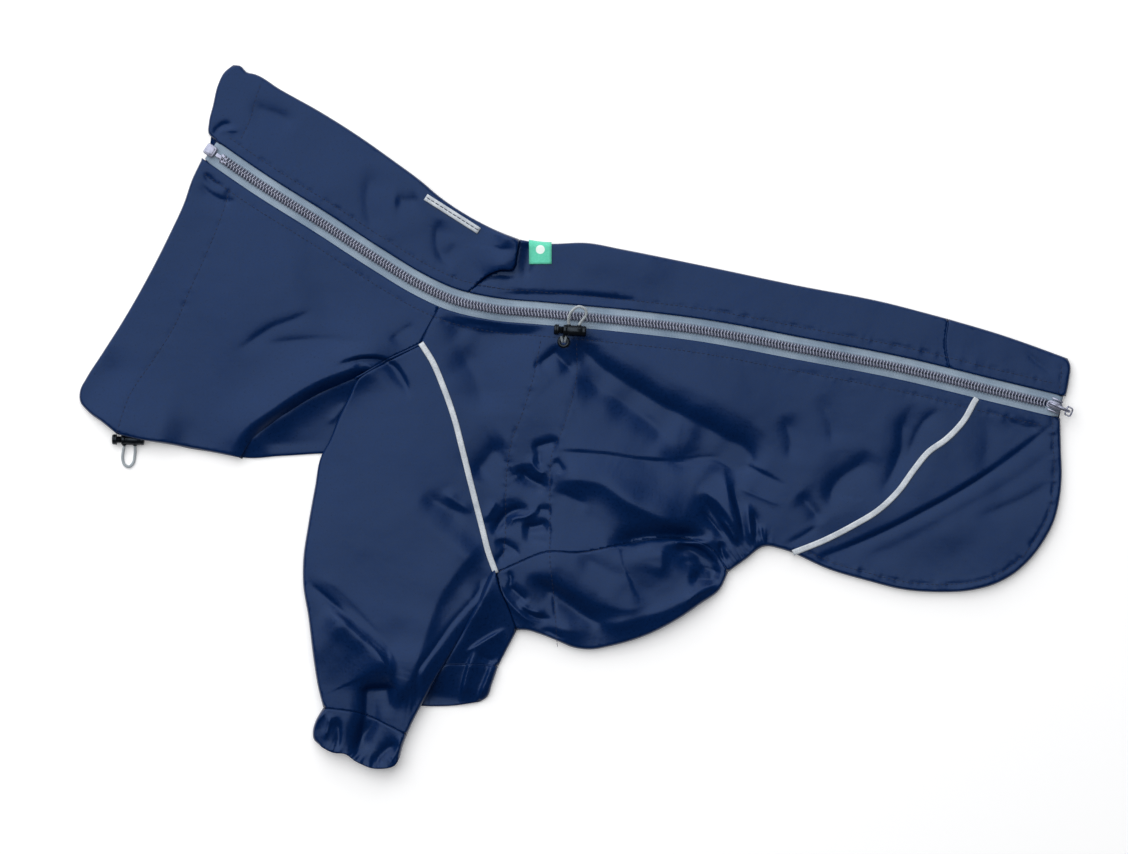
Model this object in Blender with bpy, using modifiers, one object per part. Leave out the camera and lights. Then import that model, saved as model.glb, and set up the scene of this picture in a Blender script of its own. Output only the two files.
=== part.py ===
"""A dog's raincoat of coated nylon, zipped shut and laid flat on its right side.

The coat's back runs along +X from the neck (-X) to the tail, its near side faces up (+Z), and the
far side lies under it on the floor at z = 0. Every table is in millimetres; the objects are in metres.
"""

import math

import bmesh
import bpy
import numpy as np
from mathutils import Matrix, Vector
from mathutils.geometry import delaunay_2d_cdt

MM = 0.001

# Driving dimensions, in millimetres
WALL = 1.0  # cloth
SEAM = 0.3  # between two pieces sewn together
REST = 6.0  # height of the near side's cloth where nothing lifts it
LAYER = 2.6  # least height of a cloth's face above the layer under it
SLEEVE_REST = 3.7  # height of the near sleeve's underside over the far one
FAR_SLEEVE = 3.1  # height of the far sleeve where the near one presses on it
ROLL = 3.0  # width of a rolled edge
HEM_LOW = 2.5  # height of a hem's lip over the layer that it lies on
LATTICE = 15.0  # spacing of the near side's points
FLOOR_LATTICE = 45.0  # spacing on the flat layer underneath
EDGE_STEP = 10.0  # spacing along outlines
SLOT = 6.9  # half the width of tape that shows between the cloth's edges
TUCKED = 2.5  # tape under the cloth's edge
TAPE = 1.0
TAPE_DROP = WALL + 0.4  # from the cloth's face down to the tape's
CHAIN_WIDTH = 6.0
CHAIN = 2.2
PIPING_WIDTH = 3.4
PIPING = 1.1
ON_CLOTH = 0.5  # air under what is sewn on a panel
LABEL = 0.8
CORD = 1.8
LOCK_RADIUS = 3.3
LOCK_LENGTH = 14.2
LOCK_BORE = 2.3
LOCK_HEAD = 3.0
LOCK_STEM = 8.0
LOCK_TRAVEL = 2.5
FIT = 0.3  # clearance of a moving piece
BOX_AT = 1.5  # from the zip's start
TAPE_START = 7.0
SLIDER_AT = 5.0  # from the zip's end
SLIDER_TURN = math.radians(-10)  # the slider sits this much askew of the zip
SLIDER_LENGTH = 10.0
HINGE_REACH = 7.6  # from the slider's middle to the pull's hinge
HINGE_HEIGHT = 4.3  # above the cloth's face
PULL_LENGTH = 8.6
PULL_HANG = math.radians(60)

# What an edge of a panel is. Any other edge rolls over, to a height that a function gives.
SEAM_EDGE = "seam"
CUT_EDGE = "cut"

# The lines that the pieces are cut and folded along, each as rows of (x, y)
LINES = {
    "zip": (
        (-227.5, 166), (-195.5, 144), (-158, 120.5), (-121, 96.5), (-96, 81.5), (-77.5, 73), (-52.5, 67),
        (-21.5, 64), (28, 59.5), (77.5, 53.5), (139.5, 42), (201.5, 30), (263.5, 15), (301, 6),
    ),
    "opening_near": (
        (-231, 160.5), (-237.5, 147), (-242.5, 132.5), (-251, 114), (-266, 84.5), (-280, 60), (-294, 38),
        (-303, 24), (-307, 16), (-307, 9.5), (-302, 3), (-292.5, -4), (-283.5, -11),
    ),
    "throat": ((-283.5, -11), (-273, -13.5), (-245, -18.5), (-223, -22.5), (-207.5, -25.5)),
    "crest": (
        (-207.5, -25.5), (-201, -15), (-183, -1), (-158, 14.5), (-135, 24.5), (-118, 34.5), (-95.5, 45.5),
    ),
    "shoulder": ((-95.5, 45.5), (-91, 55), (-84, 68), (-80, 76)),
    "armhole": (
        (-95.5, 45.5), (-88.5, 34.5), (-82, 19.5), (-74.5, -2), (-69.5, -21.5), (-64, -43.5), (-57.5, -69),
        (-53.5, -84.5), (-49, -97),
    ),
    "belly_seam": (
        (-49, -97), (-37, -91.5), (-16, -83.5), (0, -84.5), (28, -79.5), (52.5, -75.5), (74.5, -77),
        (87, -84), (95, -96.5),
    ),
    "hip_seam": (
        (255, 19), (249, 11.5), (240.5, -3), (230, -14), (219, -22), (210, -33), (201, -45.5), (188, -58),
        (172.5, -67.5), (155, -76.5), (135, -84.5),
    ),
    "leg_edge": ((95, -96.5), (105.5, -89), (118.5, -80.5), (127, -82), (135, -84.5)),
    "belly_fold": (
        (95, -96.5), (90, -107), (77.5, -116.5), (65, -125), (43.5, -136), (21.5, -142.5), (9.5, -144.5),
        (0, -143.5), (-12.5, -138.5), (-21.5, -135), (-31, -132.5), (-36, -132.5),
    ),
    "underarm": ((-36, -132.5), (-41.5, -118), (-46.5, -106.5), (-49, -97)),
    "hip_hem": (
        (301, -1), (301.5, -21), (302, -36.5), (300.5, -52), (297, -65.5), (291, -77), (281, -90),
        (271, -98.5), (260.5, -104), (245, -108), (226.5, -109), (204.5, -107.5), (180, -101.5),
        (158, -95), (135, -84.5),
    ),
    "opening_far": (
        (-223, 171.5), (-227, 175), (-227, 182.5), (-224.5, 193), (-221.5, 205.5), (-217.5, 213.5),
        (-212, 218),
    ),
    "opening_under": (
        (-212, 218), (-220.5, 202.5), (-225, 180.5), (-227.5, 164), (-236, 145.5), (-250.5, 112.5),
        (-265.5, 83.5), (-279.5, 58.5), (-293.5, 37), (-302.5, 22.5), (-306, 15), (-305, 9.5),
        (-300, 3), (-292, -2),
    ),
    "throat_under": (
        (-292, -2), (-279, -5.5), (-267, -7.5), (-258, -14), (-245, -18.5), (-223, -22.5), (-207.5, -25.5),
    ),
    "back_neck": (
        (-212, 218), (-207.5, 217.5), (-203.5, 213.5), (-199, 212.5), (-183, 203), (-158, 189),
        (-133.5, 173.5), (-113, 159), (-96, 146.5), (-83.5, 136), (-59, 120.5), (-46.5, 114.5),
        (-34.4, 109.8),
    ),
    "tuck": ((-34.4, 109.8), (-36, 100), (-38.5, 91), (-46.5, 90.5), (-54, 87.5), (-64.5, 78), (-72, 70)),
    "far_shoulder": ((-95.5, 45.5), (-77.5, 66), (-52.5, 91), (-34.4, 109.8)),
    "back_body": (
        (-34.4, 109.8), (-21.5, 107.5), (9.5, 107.5), (28, 104), (77.5, 94), (139.5, 81), (189, 71.5),
        (231.5, 60.5),
    ),
    "back_hip": ((231.5, 60.5), (263.5, 51), (297.5, 39), (305.5, 36)),
    "hip_strip_seam": ((231.5, 60.5), (229.5, 44.5), (232.5, 29), (236, 19)),
    "hip_under_seam": ((231.5, 60.5), (243, 39), (255, 19)),
    "tail_far": ((305.5, 36), (307, 33), (306.5, 22.5), (304.5, 12.5)),
    "tail_under": (
        (305.5, 36), (305, 22.5), (302.5, 10), (300.5, -2), (301, -21), (301.5, -36.5), (300, -52),
        (296.5, -65.5), (290, -77), (280, -89.5), (270.5, -98), (260, -103), (245, -107.5),
        (226.5, -108.5), (204.5, -106.5), (180, -101), (158, -94.5), (135, -84.5),
    ),
    "sleeve_front": (
        (-95.4, 44.7), (-117.6, 33.7), (-134.4, 23.8), (-140.5, 11.5), (-147, -2), (-152, -14.5),
        (-157.5, -25), (-161, -42.5), (-165.5, -67.5), (-168.5, -89), (-168.5, -104.5), (-165.5, -123),
        (-162, -151), (-159.5, -166.5), (-156, -180.5),
    ),
    "sleeve_rear": (
        (-49, -97), (-56.5, -112.5), (-65, -127.5), (-74.5, -143.5), (-83.5, -158.5), (-91, -171.5),
        (-95.5, -179.5), (-100.5, -189), (-104, -197),
    ),
    "cuff_seam": (
        (-156, -180.5), (-145.5, -181.5), (-136, -183), (-126, -186.5), (-114.5, -192), (-104, -197),
    ),
    "cuff_front": ((-156, -180.5), (-160.5, -188), (-162.5, -195), (-162, -200), (-158.5, -203.5)),
    "cuff_end": (
        (-158.5, -203.5), (-150, -208), (-142, -209), (-137, -212.5), (-126, -217.5), (-119.5, -218),
        (-111.5, -216), (-108.5, -211),
    ),
    "cuff_rear": ((-104, -197), (-106.5, -203.5), (-108.5, -211)),
    "far_rear": ((-36, -132.5), (-41.5, -143), (-47.5, -154.5)),
    "far_front": ((-95.5, 45.5), (-114.5, -2), (-119.5, -52), (-116, -114), (-111, -156)),
    "far_cuff_seam": ((-111, -156), (-77.5, -153.5), (-47.5, -154.5)),
    "far_cuff_front": ((-111, -156), (-113, -168), (-111.5, -178)),
    "far_cuff_rear": ((-47.5, -154.5), (-51.5, -166), (-54.5, -174), (-59, -177)),
    "far_cuff_end": ((-111.5, -178), (-95.5, -179.5), (-77.5, -179.5), (-59, -177)),
    "chest_fold": ((-206.5, -25.8), (-183, -24.5), (-158, -23), (-122, -22)),
    "chest_tuck": ((-206.5, -25.8), (-205, -12), (-188, 4.5), (-163, 20), (-139.5, 31.5), (-114.5, 35.2)),
    "chest_side": ((-114.5, 35.2), (-117, 24), (-119, 8), (-122, -22)),
    "chest_crest": ((-206.5, -25.8), (-200.3, -15.6), (-182.5, -1.8), (-157.6, 13.6), (-134.6, 23.6), (-114.5, 35.2)),
}

# Folds in the near side's cloth. Each runs from (x0, y0) through (xm, ym) to (x1, y1), reaches
# width to each side, and lifts the cloth by rise, or lowers it where rise is negative.
FOLDS = (
    # x0, y0, xm, ym, x1, y1, width, rise
    # broad billows
    (-232, 72, -195, 72, -152, 78, 50, 2.5),
    (-65, 23, 28, 10, 140, -8, 42, 3.5),
    (-34, -52, 16, -64, 65, -89, 34, 3.0),
    (189, -33, 226, -39, 264, -33, 34, 1.5),
    (-108, 10, -121, -52, -118, -114, 30, 6.0),
    (-170, 153, -133, 134, -96, 109, 20, 1.0),
    # neck
    (-198, -5, -164, 20, -118, 41, 12, 6.5),
    (-294, -4, -279, -9, -258, -14, 9, 4.5),
    (-212, 40, -186, 57, -155, 70, 3, -1.1),
    (-194, 44, -164, 49, -115, 47, 3.5, -1.3),
    (-152, 31, -133, 37, -112, 36, 4, -3.0),
    (-283, 38, -285, 22, -283, 10, 7, -1.5),
    (-229, 152, -223, 143, -211, 134, 2.5, -1.2),
    (-223, 173, -217, 180, -206, 179, 2.4, 1.3),
    (-217, 196, -192, 193, -164, 181, 8, -1.2),
    (-128, 156, -130, 134, -126, 113, 5, -1.6),
    (-118, 150, -118, 128, -113, 106, 6, 1.2),
    (-110, 134, -102, 142, -93, 144, 5, -1.4),
    (-86, 125, -88, 109, -82, 96, 5, -2.0),
    # strip above the zip
    (-22, 77, 3, 77, 40, 73, 2.5, -1.0),
    (-9, 96, 16, 98, 65, 88, 14, 1.0),
    # body, from the cord lock and across
    (-74, 61, -46, 54, -12, 54, 3.5, -2.0),
    (-25, 31, -17, 40, -9, 44, 2.5, -2.0),
    (2, 44, 56, 16, 121, -28, 7, -4.5),
    (16, 41, 71, 20, 121, -8, 8, 1.8),
    (-8, 38, 28, 13, 56, -8, 4, -1.2),
    (54, 4, 62, -15, 78, -22, 6, -2.0),
    (-15, -22, 40, -26, 90, -26, 2.5, 1.8),
    (90, -26, 108, -32, 133, -46, 2.5, 1.2),
    # waist puckers
    (-12, -15, -25, -19, -30, -27, 2.6, -2.6),
    (-17, -21, -25, -26, -21, -34, 2.4, 2.0),
    (-34, -28, -25, -36, -14, -42, 2.6, -2.6),
    (-56, -70, -46, -57, -25, -54, 3.5, -3.0),
    (-48, -77, -40, -62, -28, -61, 3, 1.6),
    (-33, -67, -22, -65, -14, -58, 3, -2.4),
    (-43, -77, -37, -82, -46, -86, 3, -1.8),
    (-12, -44, 16, -56, 78, -73, 9, -4.5),
    (-9, -55, 6, -67, 16, -80, 7, 1.5),
    # belly
    (-28, -90, 16, -96, 46, -89, 13, 3.5),
    (-34, -95, 0, -114, 71, -114, 8, -4.5),
    (28, -80, 53, -75, 81, -75, 3, -2.4),
    (54, -78, 71, -82, 91, -94, 3, -3.0),
    (71, -95, 81, -98, 93, -98, 2.5, -1.8),
    (68, -121, 71, -111, 91, -104, 3, -2.0),
    (-48, -98, -42, -114, -22, -127, 2.6, 1.5),
    (-43, -103, -34, -114, -16, -118, 2.6, -1.5),
    (-37, -127, -22, -131, -9, -139, 3, -1.6),
    # elastic leg edge
    (100, -86, 91, -67, 78, -44, 2.6, -3.0),
    (104, -84, 95, -65, 85, -50, 2.4, 1.4),
    (106, -83, 98, -58, 91, -28, 2.6, -2.4),
    (109, -82, 106, -69, 105, -57, 2.4, 1.4),
    (112, -80, 112, -67, 109, -54, 2.6, -2.4),
    (96, -90, 94, -84, 91, -78, 2.4, -1.8),
    # rear of the body
    (136, 10, 143, -15, 138, -36, 6, -1.4),
    (220, 10, 189, -5, 170, -46, 7, -1.8),
    (236, 2, 198, -10, 188, -46, 5, 1.5),
    (226, -8, 202, -22, 195, -46, 5, -1.6),
    (140, -51, 147, -59, 155, -67, 4, -1.8),
    (133, -78, 146, -72, 161, -65, 3, -1.0),
    # hip flap
    (294, -5, 239, -47, 143, -86, 2.6, -2.6),
    (282, -13, 239, -37, 183, -65, 8, 2.0),
    (291, -18, 232, -59, 170, -90, 6, 1.4),
    (164, -93, 202, -80, 264, -47, 7, -1.4),
    (250, 5, 255, -15, 252, -30, 5, -1.4),
    (264, 1, 279, -7, 293, -7, 3.5, -1.3),
    # near sleeve
    (-113, 34, -107, 25, -102, 18, 4, -3.0),
    (-81, -46, -74, -52, -62, -61, 4, -1.8),
    (-167, -96, -140, -113, -113, -142, 5, 2.4),
    (-152, -108, -133, -123, -117, -144, 4, -2.4),
    (-148, -116, -130, -132, -115, -154, 4, 1.4),
    (-149, -139, -133, -151, -118, -160, 9, -2.6),
    (-113, -139, -111, -157, -111, -176, 3, 2.0),
    (-60, -80, -82, -109, -93, -170, 6, 2.6),
    (-135, -171, -126, -168, -115, -168, 4, -2.6),
    (-135, -170, -136, -185, -138, -210, 3.4, -3.0),
    # near cuff
    (-148, -186, -148, -194, -147, -207, 2.6, -2.0),
    (-156, -184, -154, -194, -152, -206, 3, 1.2),
    (-121, -216, -116, -208, -107, -199, 3.4, -2.4),
    (-126, -179, -120, -187, -106, -195, 3, -1.6),
)

# Folds that only one layer has, in the same columns
TUCK_LIFT = ((-52, 122, -37, 104, -58, 86, 11, 3.2),)
TUCK_SHADOW = ((-30, 103, -32, 94, -44, 89, 5, -1.4),)
CHEST_FOLDS = ((-196, -20, -178, -14, -150, -12, 5, 1.2),)
FAR_SLEEVE_FOLDS = (
    (-50, -118, -52, -142, -68, -172, 7, 3.6),
    (-66, -146, -56, -139, -42, -141, 3, 1.4),
    (-62, -172, -59, -160, -54, -150, 2.6, -1.6),
)

COLOURS = {
    # sRGB red, green, blue, then metallic, roughness
    "coated_nylon_navy": (0.16, 0.23, 0.39, 0.0, 0.55),
    "woven_tape_grey_blue": (0.50, 0.57, 0.65, 0.0, 0.85),
    "metallised_nylon_silver": (0.66, 0.67, 0.76, 0.7, 0.35),
    "retroreflective_silver": (0.79, 0.81, 0.84, 0.0, 0.6),
    "woven_label_teal": (0.33, 0.77, 0.65, 0.0, 0.8),
    "moulded_nylon_black": (0.03, 0.04, 0.05, 0.0, 0.3),
    "elastic_cord_grey": (0.62, 0.67, 0.72, 0.0, 0.8),
}


# ---- plane geometry ----


def smooth(rows, step):
    """Points about step apart on the curve that runs smoothly through the rows, in any dimension."""
    rows = np.array(rows, float)
    spans = np.linalg.norm(np.diff(rows, axis=0), axis=1)
    run = np.r_[0, np.cumsum(spans)]
    slopes = np.gradient(rows, run, axis=0)
    along, t = [], np.linspace(0, 1, 17)[:-1, None]
    for i, span in enumerate(spans):
        start, end = rows[i], rows[i + 1]
        go, arrive = slopes[i] * span, slopes[i + 1] * span
        along.append(
            start * (2 * t**3 - 3 * t**2 + 1)
            + go * (t**3 - 2 * t**2 + t)
            + end * (3 * t**2 - 2 * t**3)
            + arrive * (t**3 - t**2)
        )
    fine = np.vstack(along + [rows[-1:]])
    length = np.r_[0, np.cumsum(np.linalg.norm(np.diff(fine, axis=0), axis=1))]
    at = np.linspace(0, length[-1], max(2, round(length[-1] / step) + 1))
    return np.stack([np.interp(at, length, column) for column in fine.T], 1)


def beside(line, distance):
    """The line moved to its left by distance, one number or one for each point."""
    tangent = np.gradient(line, axis=0)
    tangent /= np.linalg.norm(tangent, axis=1)[:, None]
    left = np.stack([-tangent[:, 1], tangent[:, 0]], 1)
    return line + left * np.reshape(distance, (-1, 1))


def nearest(points, line):
    """For each point, its distance to the line and how far along the line that is, from 0 to 1."""
    start, run = line[:-1], np.diff(line, axis=0)
    rel = points[:, None] - start
    part = np.clip((rel * run).sum(2) / (run**2).sum(1), 0, 1)
    gap = np.linalg.norm(rel - part[..., None] * run, axis=2)
    which = gap.argmin(1)
    rows = np.arange(len(points))
    return gap[rows, which], (which + part[rows, which]) / len(run)


def inside(points, outline):
    x, y = points[:, :1], points[:, 1:]
    x0, y0 = outline.T
    x1, y1 = np.roll(outline, -1, axis=0).T
    crosses = (y0 > y) != (y1 > y)
    with np.errstate(divide="ignore", invalid="ignore"):
        at = x0 + (y - y0) * (x1 - x0) / (y1 - y0)
    return (crosses & (x < at)).sum(1) % 2 == 1


def eased(value):
    value = np.clip(value, 0, 1)
    return value * value * (3 - 2 * value)


# ---- heights of the layers ----


def fold_line(row, step):
    x0, y0, xm, ym, x1, y1 = row[:6]
    return smooth(((x0, y0), (xm, ym), (x1, y1)), step)


def folds_at(points, folds):
    """What the folds add to the cloth's height at each point: a soft ridge or trough with faded ends."""
    total = np.zeros(len(points))
    for row in folds:
        width, rise = row[6:]
        gap, along = nearest(points, fold_line(row, 8))
        fade = eased(np.minimum(along, 1 - along) / 0.3)
        total += rise * np.exp(-((gap / width) ** 2)) * fade
    return total


def at_least(height, least):
    """The height, eased so that it never falls below least."""
    soft = 0.7
    return least + soft * np.logaddexp(0, (height - least) / soft)


def sleeve_floor(points):
    """The near sleeve's underside: on the floor, or over the chest and the far sleeve."""
    x, y = points.T
    over_far = eased((x + 156) / 16) * eased((y + 202) / 16)
    over_chest = eased((y + 48) / 18)
    return SLEEVE_REST * (1 - (1 - over_far) * (1 - over_chest))


def near_face(points, extra=()):
    """Height of the near side's outer face."""
    return at_least(REST + folds_at(points, FOLDS + tuple(extra)), LAYER)


def sleeve_face(points):
    return at_least(near_face(points), sleeve_floor(points) + LAYER)


def chest_face(points):
    return at_least(FAR_SLEEVE + folds_at(points, CHEST_FOLDS), LAYER)


def far_sleeve_face(points):
    return at_least(FAR_SLEEVE + folds_at(points, FAR_SLEEVE_FOLDS), LAYER)


def on_floor(points):
    return np.zeros(len(points))


def hem_lip(points):
    """Height of a hem's lip: just over the layer below it, the chest panel or the cord lock."""
    over_lock, _ = nearest(points, np.array(((-290, -11.5), (-266, -13.5))))
    over_chest, _ = nearest(points, line_of("chest_crest"))
    return HEM_LOW + 5.6 * np.exp(-((over_lock / 9) ** 2)) + 3.6 * np.exp(-((over_chest / 12) ** 2))


# ---- cloth pieces ----


def line_of(name, step=EDGE_STEP):
    return smooth(LINES[name], step)


def cut_at(line, cutter):
    """The line's points up to where it crosses the cutter, and that crossing."""
    start, across = cutter[:-1], np.diff(cutter, axis=0)
    for i, (a, b) in enumerate(zip(line, line[1:])):
        run, gap = b - a, start - a
        turn = run[0] * across[:, 1] - run[1] * across[:, 0]
        along = (gap[:, 0] * across[:, 1] - gap[:, 1] * across[:, 0]) / turn
        side = (gap[:, 0] * run[1] - gap[:, 1] * run[0]) / turn
        hit = (along >= 0) & (along <= 1) & (side >= 0) & (side <= 1)
        if hit.any():
            point = a + along[hit.argmax()] * run
            kept = line[: i + 1]
            if i and np.linalg.norm(kept[-1] - point) < 0.3 * EDGE_STEP:
                kept = kept[:-1]
            return np.vstack([kept, point])
    return line


def zip_edge(side, first=None, last=None):
    """The cloth's edge beside the zip, between the two seams that end at it."""
    line = beside(line_of("zip"), side * SLOT)
    if last:
        line = cut_at(line, line_of(last))
    if first:
        line = cut_at(line[::-1], line_of(first))[::-1]
    return line


def to_zip(name, side):
    """The seam's line up to the cloth's edge beside the zip, which it runs on past."""
    line = line_of(name)
    edge = beside(line_of("zip"), side * SLOT)
    if np.linalg.norm(edge - line[0], axis=1).min() < np.linalg.norm(edge - line[-1], axis=1).min():
        line = line[::-1]
    return cut_at(line, edge)


def apart(a, b):
    return np.linalg.norm(a - b)


def outline_of(runs):
    """One outline, anticlockwise, from (line, kind) runs. A seam is drawn back by half the gap. Any
    other edge stays where it is, and ends short of a seam by as much."""
    lines = [line_of(line) if isinstance(line, str) else line for line, _ in runs]
    if min(apart(lines[0][0], end) for end in lines[1][:: len(lines[1]) - 1]) < 1:
        lines[0] = lines[0][::-1]
    points, kinds = list(lines[0]), [{runs[0][1]} for _ in lines[0]]
    for line, (_, kind) in zip(lines[1:], runs[1:]):
        if apart(line[-1], points[-1]) < apart(line[0], points[-1]):
            line = line[::-1]
        if apart(line[0], points[-1]) < 1:
            kinds[-1].add(kind)
            line = line[1:]
        points += list(line)
        kinds += [{kind} for _ in line]
    if apart(points[0], points[-1]) < 1:
        kinds[0] |= kinds.pop()
        points.pop()
    points = np.array(points)
    ahead, behind = np.roll(points, -1, axis=0), np.roll(points, 1, axis=0)
    if (points[:, 0] * ahead[:, 1] - points[:, 1] * ahead[:, 0]).sum() < 0:
        points, kinds = points[::-1], kinds[::-1]
        ahead, behind = np.roll(points, -1, axis=0), np.roll(points, 1, axis=0)
    run = ahead - behind
    left = np.stack([-run[:, 1], run[:, 0]], 1) / np.linalg.norm(run, axis=1)[:, None]
    moved = points.copy()
    for i, kind in enumerate(kinds):
        if kind == {SEAM_EDGE}:
            moved[i] += left[i] * SEAM / 2
        elif SEAM_EDGE in kind:
            other = ahead[i] if kinds[(i + 1) % len(kinds)] != {SEAM_EDGE} else behind[i]
            moved[i] += (other - points[i]) / apart(other, points[i]) * SEAM * 0.6
    return moved


def thinned(candidates, least):
    """The candidates that stand at least this far from every one kept before them."""
    kept = np.empty((0, 2))
    for point in candidates:
        if not len(kept) or ((kept - point) ** 2).sum(1).min() > least * least:
            kept = np.vstack([kept, point])
    return kept


def lattice(outline, spacing):
    low, high = outline.min(0), outline.max(0)
    rows = []
    for k, y in enumerate(np.arange(low[1] + spacing / 2, high[1], spacing * math.sqrt(0.75))):
        xs = np.arange(low[0] + spacing * (k % 2) / 2, high[0], spacing)
        rows.append(np.stack([xs, np.full(len(xs), y)], 1))
    return np.vstack(rows)


def fold_points(folds):
    """Points along each narrow fold's crest and its two feet, so that the mesh's edges follow it."""
    found = [np.empty((0, 2))]
    for row in folds:
        width = row[6]
        if width < 10:
            line = fold_line(row, max(7.0, 1.8 * width))
            found += [line, beside(line, 1.6 * width), beside(line, -1.6 * width)]
    return np.vstack(found)


def sheet(runs, face, folds=(), spacing=LATTICE):
    """(points, triangles) of one layer. Its height is face inside. Along an edge whose kind is a
    height, it rolls over to that height within the width of the roll."""
    outline = outline_of(runs)
    border = np.vstack([outline, outline[:1]])
    edges = [(line_of(line) if isinstance(line, str) else line, kind) for line, kind in runs if callable(kind)]
    shares = (0.3, 1.0) if spacing == LATTICE else (1.0,)
    rings = [beside(line, side * share * ROLL) for line, _ in edges for share in shares for side in (1, -1)]
    ring = np.vstack([np.empty((0, 2))] + rings)
    ring = ring[inside(ring, outline) & (nearest(ring, border)[0] > 0.25 * ROLL)]
    ring = thinned(ring, 1.3)
    field = np.vstack([fold_points(folds), lattice(outline, spacing)])
    field = field[inside(field, outline) & (nearest(field, border)[0] > min(0.3 * spacing, 2.6))]
    for line, _ in edges:
        field = field[nearest(field, line)[0] > 1.8 * ROLL]
    field = thinned(field, 3.4)
    flat = [Vector(point) for point in np.vstack([outline, ring, field])]
    found, _, triangles, *_ = delaunay_2d_cdt(flat, [], [list(range(len(outline)))], 1, 1e-5)
    points = np.array([tuple(point) for point in found])
    height = face(points)
    for line, low in edges:
        part = 1 - np.clip(nearest(points, line)[0] / ROLL, 0, 1)
        height = low(points) + (height - low(points)) * np.sqrt(1 - part**2)
    return np.column_stack([points, height]), triangles


def material_of(name):
    if name in bpy.data.materials:
        return bpy.data.materials[name]
    red, green, blue, metallic, roughness = COLOURS[name]
    made = bpy.data.materials.new(name)
    made.use_nodes = True
    shader = made.node_tree.nodes["Principled BSDF"]
    linear = [c / 12.92 if c <= 0.04045 else ((c + 0.055) / 1.055) ** 2.4 for c in (red, green, blue)]
    shader.inputs["Base Color"].default_value = (*linear, 1)
    shader.inputs["Metallic"].default_value = metallic
    shader.inputs["Roughness"].default_value = roughness
    return made


def add_object(name, mesh, material, collection, matrix=None):
    made = bpy.data.objects.new(name, mesh)
    made.data.materials.append(material_of(material))
    if matrix:
        made.matrix_world = matrix
    collection.objects.link(made)
    return made


def walled(name, collection, mesh, thickness, material):
    """An object from an open surface: a wall of this thickness, inward from it."""
    data = bpy.data.meshes.new(name)
    mesh.to_mesh(data)
    mesh.free()
    made = add_object(name, data, material, collection)
    wall = made.modifiers.new("wall", "SOLIDIFY")
    wall.thickness = thickness * MM
    wall.offset = -1
    return made


def cloth(name, collection, top=None, under=None):
    """A cloth wall from its upper and lower faces, which join along the folds that they share."""
    mesh = bmesh.new()
    for layer, flip in ((top, False), (under, True)):
        if layer is None:
            continue
        points, triangles = layer
        vertices = [mesh.verts.new(Vector(point) * MM) for point in points]
        for triangle in triangles:
            corners = [vertices[i] for i in triangle]
            mesh.faces.new(corners[::-1] if flip else corners)
    bmesh.ops.remove_doubles(mesh, verts=mesh.verts, dist=0.02 * MM)
    walled(name, collection, mesh, WALL, "coated_nylon_navy").data.shade_smooth()


def strip_of(rows, name, collection, thickness, material):
    """A strip over rows of (x, y, z) points, each row to the left of the one before."""
    mesh = bmesh.new()
    grid = [[mesh.verts.new(Vector(point) * MM) for point in row] for row in rows]
    for right, left in zip(grid, grid[1:]):
        for a, b, c, d in zip(right, right[1:], left[1:], left):
            mesh.faces.new((a, b, c, d))
    return walled(name, collection, mesh, thickness, material)


def ribbon(name, collection, line, offsets, rise, thickness, material, face=near_face):
    """A strip along the line, its rows at the offsets to the line's left, with its upper face this
    far above the cloth's."""
    rows = [beside(line, offset) for offset in offsets]
    rows = [np.column_stack([row, face(row) + rise]) for row in rows]
    return strip_of(rows, name, collection, thickness, material)


def halved(face, floor=on_floor):
    """Height of a fold: midway between the faces that it joins."""
    return lambda points: (face(points) + floor(points)) / 2


def build_neck(collection):
    near = sheet(
        ((zip_edge(-1, None, "shoulder"), CUT_EDGE), (to_zip("shoulder", -1), SEAM_EDGE), ("crest", hem_lip),
         ("throat", hem_lip), ("opening_near", hem_lip)),
        near_face, FOLDS,
    )
    cloth("neck_near", collection, top=near)

    def face(points):
        return near_face(points, TUCK_LIFT)

    strip = sheet(
        ((zip_edge(1, None, "tuck"), CUT_EDGE), (to_zip("tuck", 1), SEAM_EDGE), ("back_neck", halved(face)),
         ("opening_far", halved(face))),
        face, FOLDS + TUCK_LIFT,
    )
    under = sheet(
        (("back_neck", halved(face)), ("far_shoulder", SEAM_EDGE), ("crest", SEAM_EDGE),
         ("throat_under", CUT_EDGE), ("opening_under", CUT_EDGE)),
        on_floor, spacing=FLOOR_LATTICE,
    )
    cloth("neck_far", collection, top=strip, under=under)


def build_chest(collection):
    fold = ("chest_fold", halved(chest_face))
    side = ("chest_side", SEAM_EDGE)
    top = sheet((fold, side, ("chest_tuck", SEAM_EDGE)), chest_face, CHEST_FOLDS)
    under = sheet((fold, side, ("chest_crest", SEAM_EDGE)), on_floor, spacing=FLOOR_LATTICE)
    cloth("chest_panel", collection, top=top, under=under)


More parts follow.
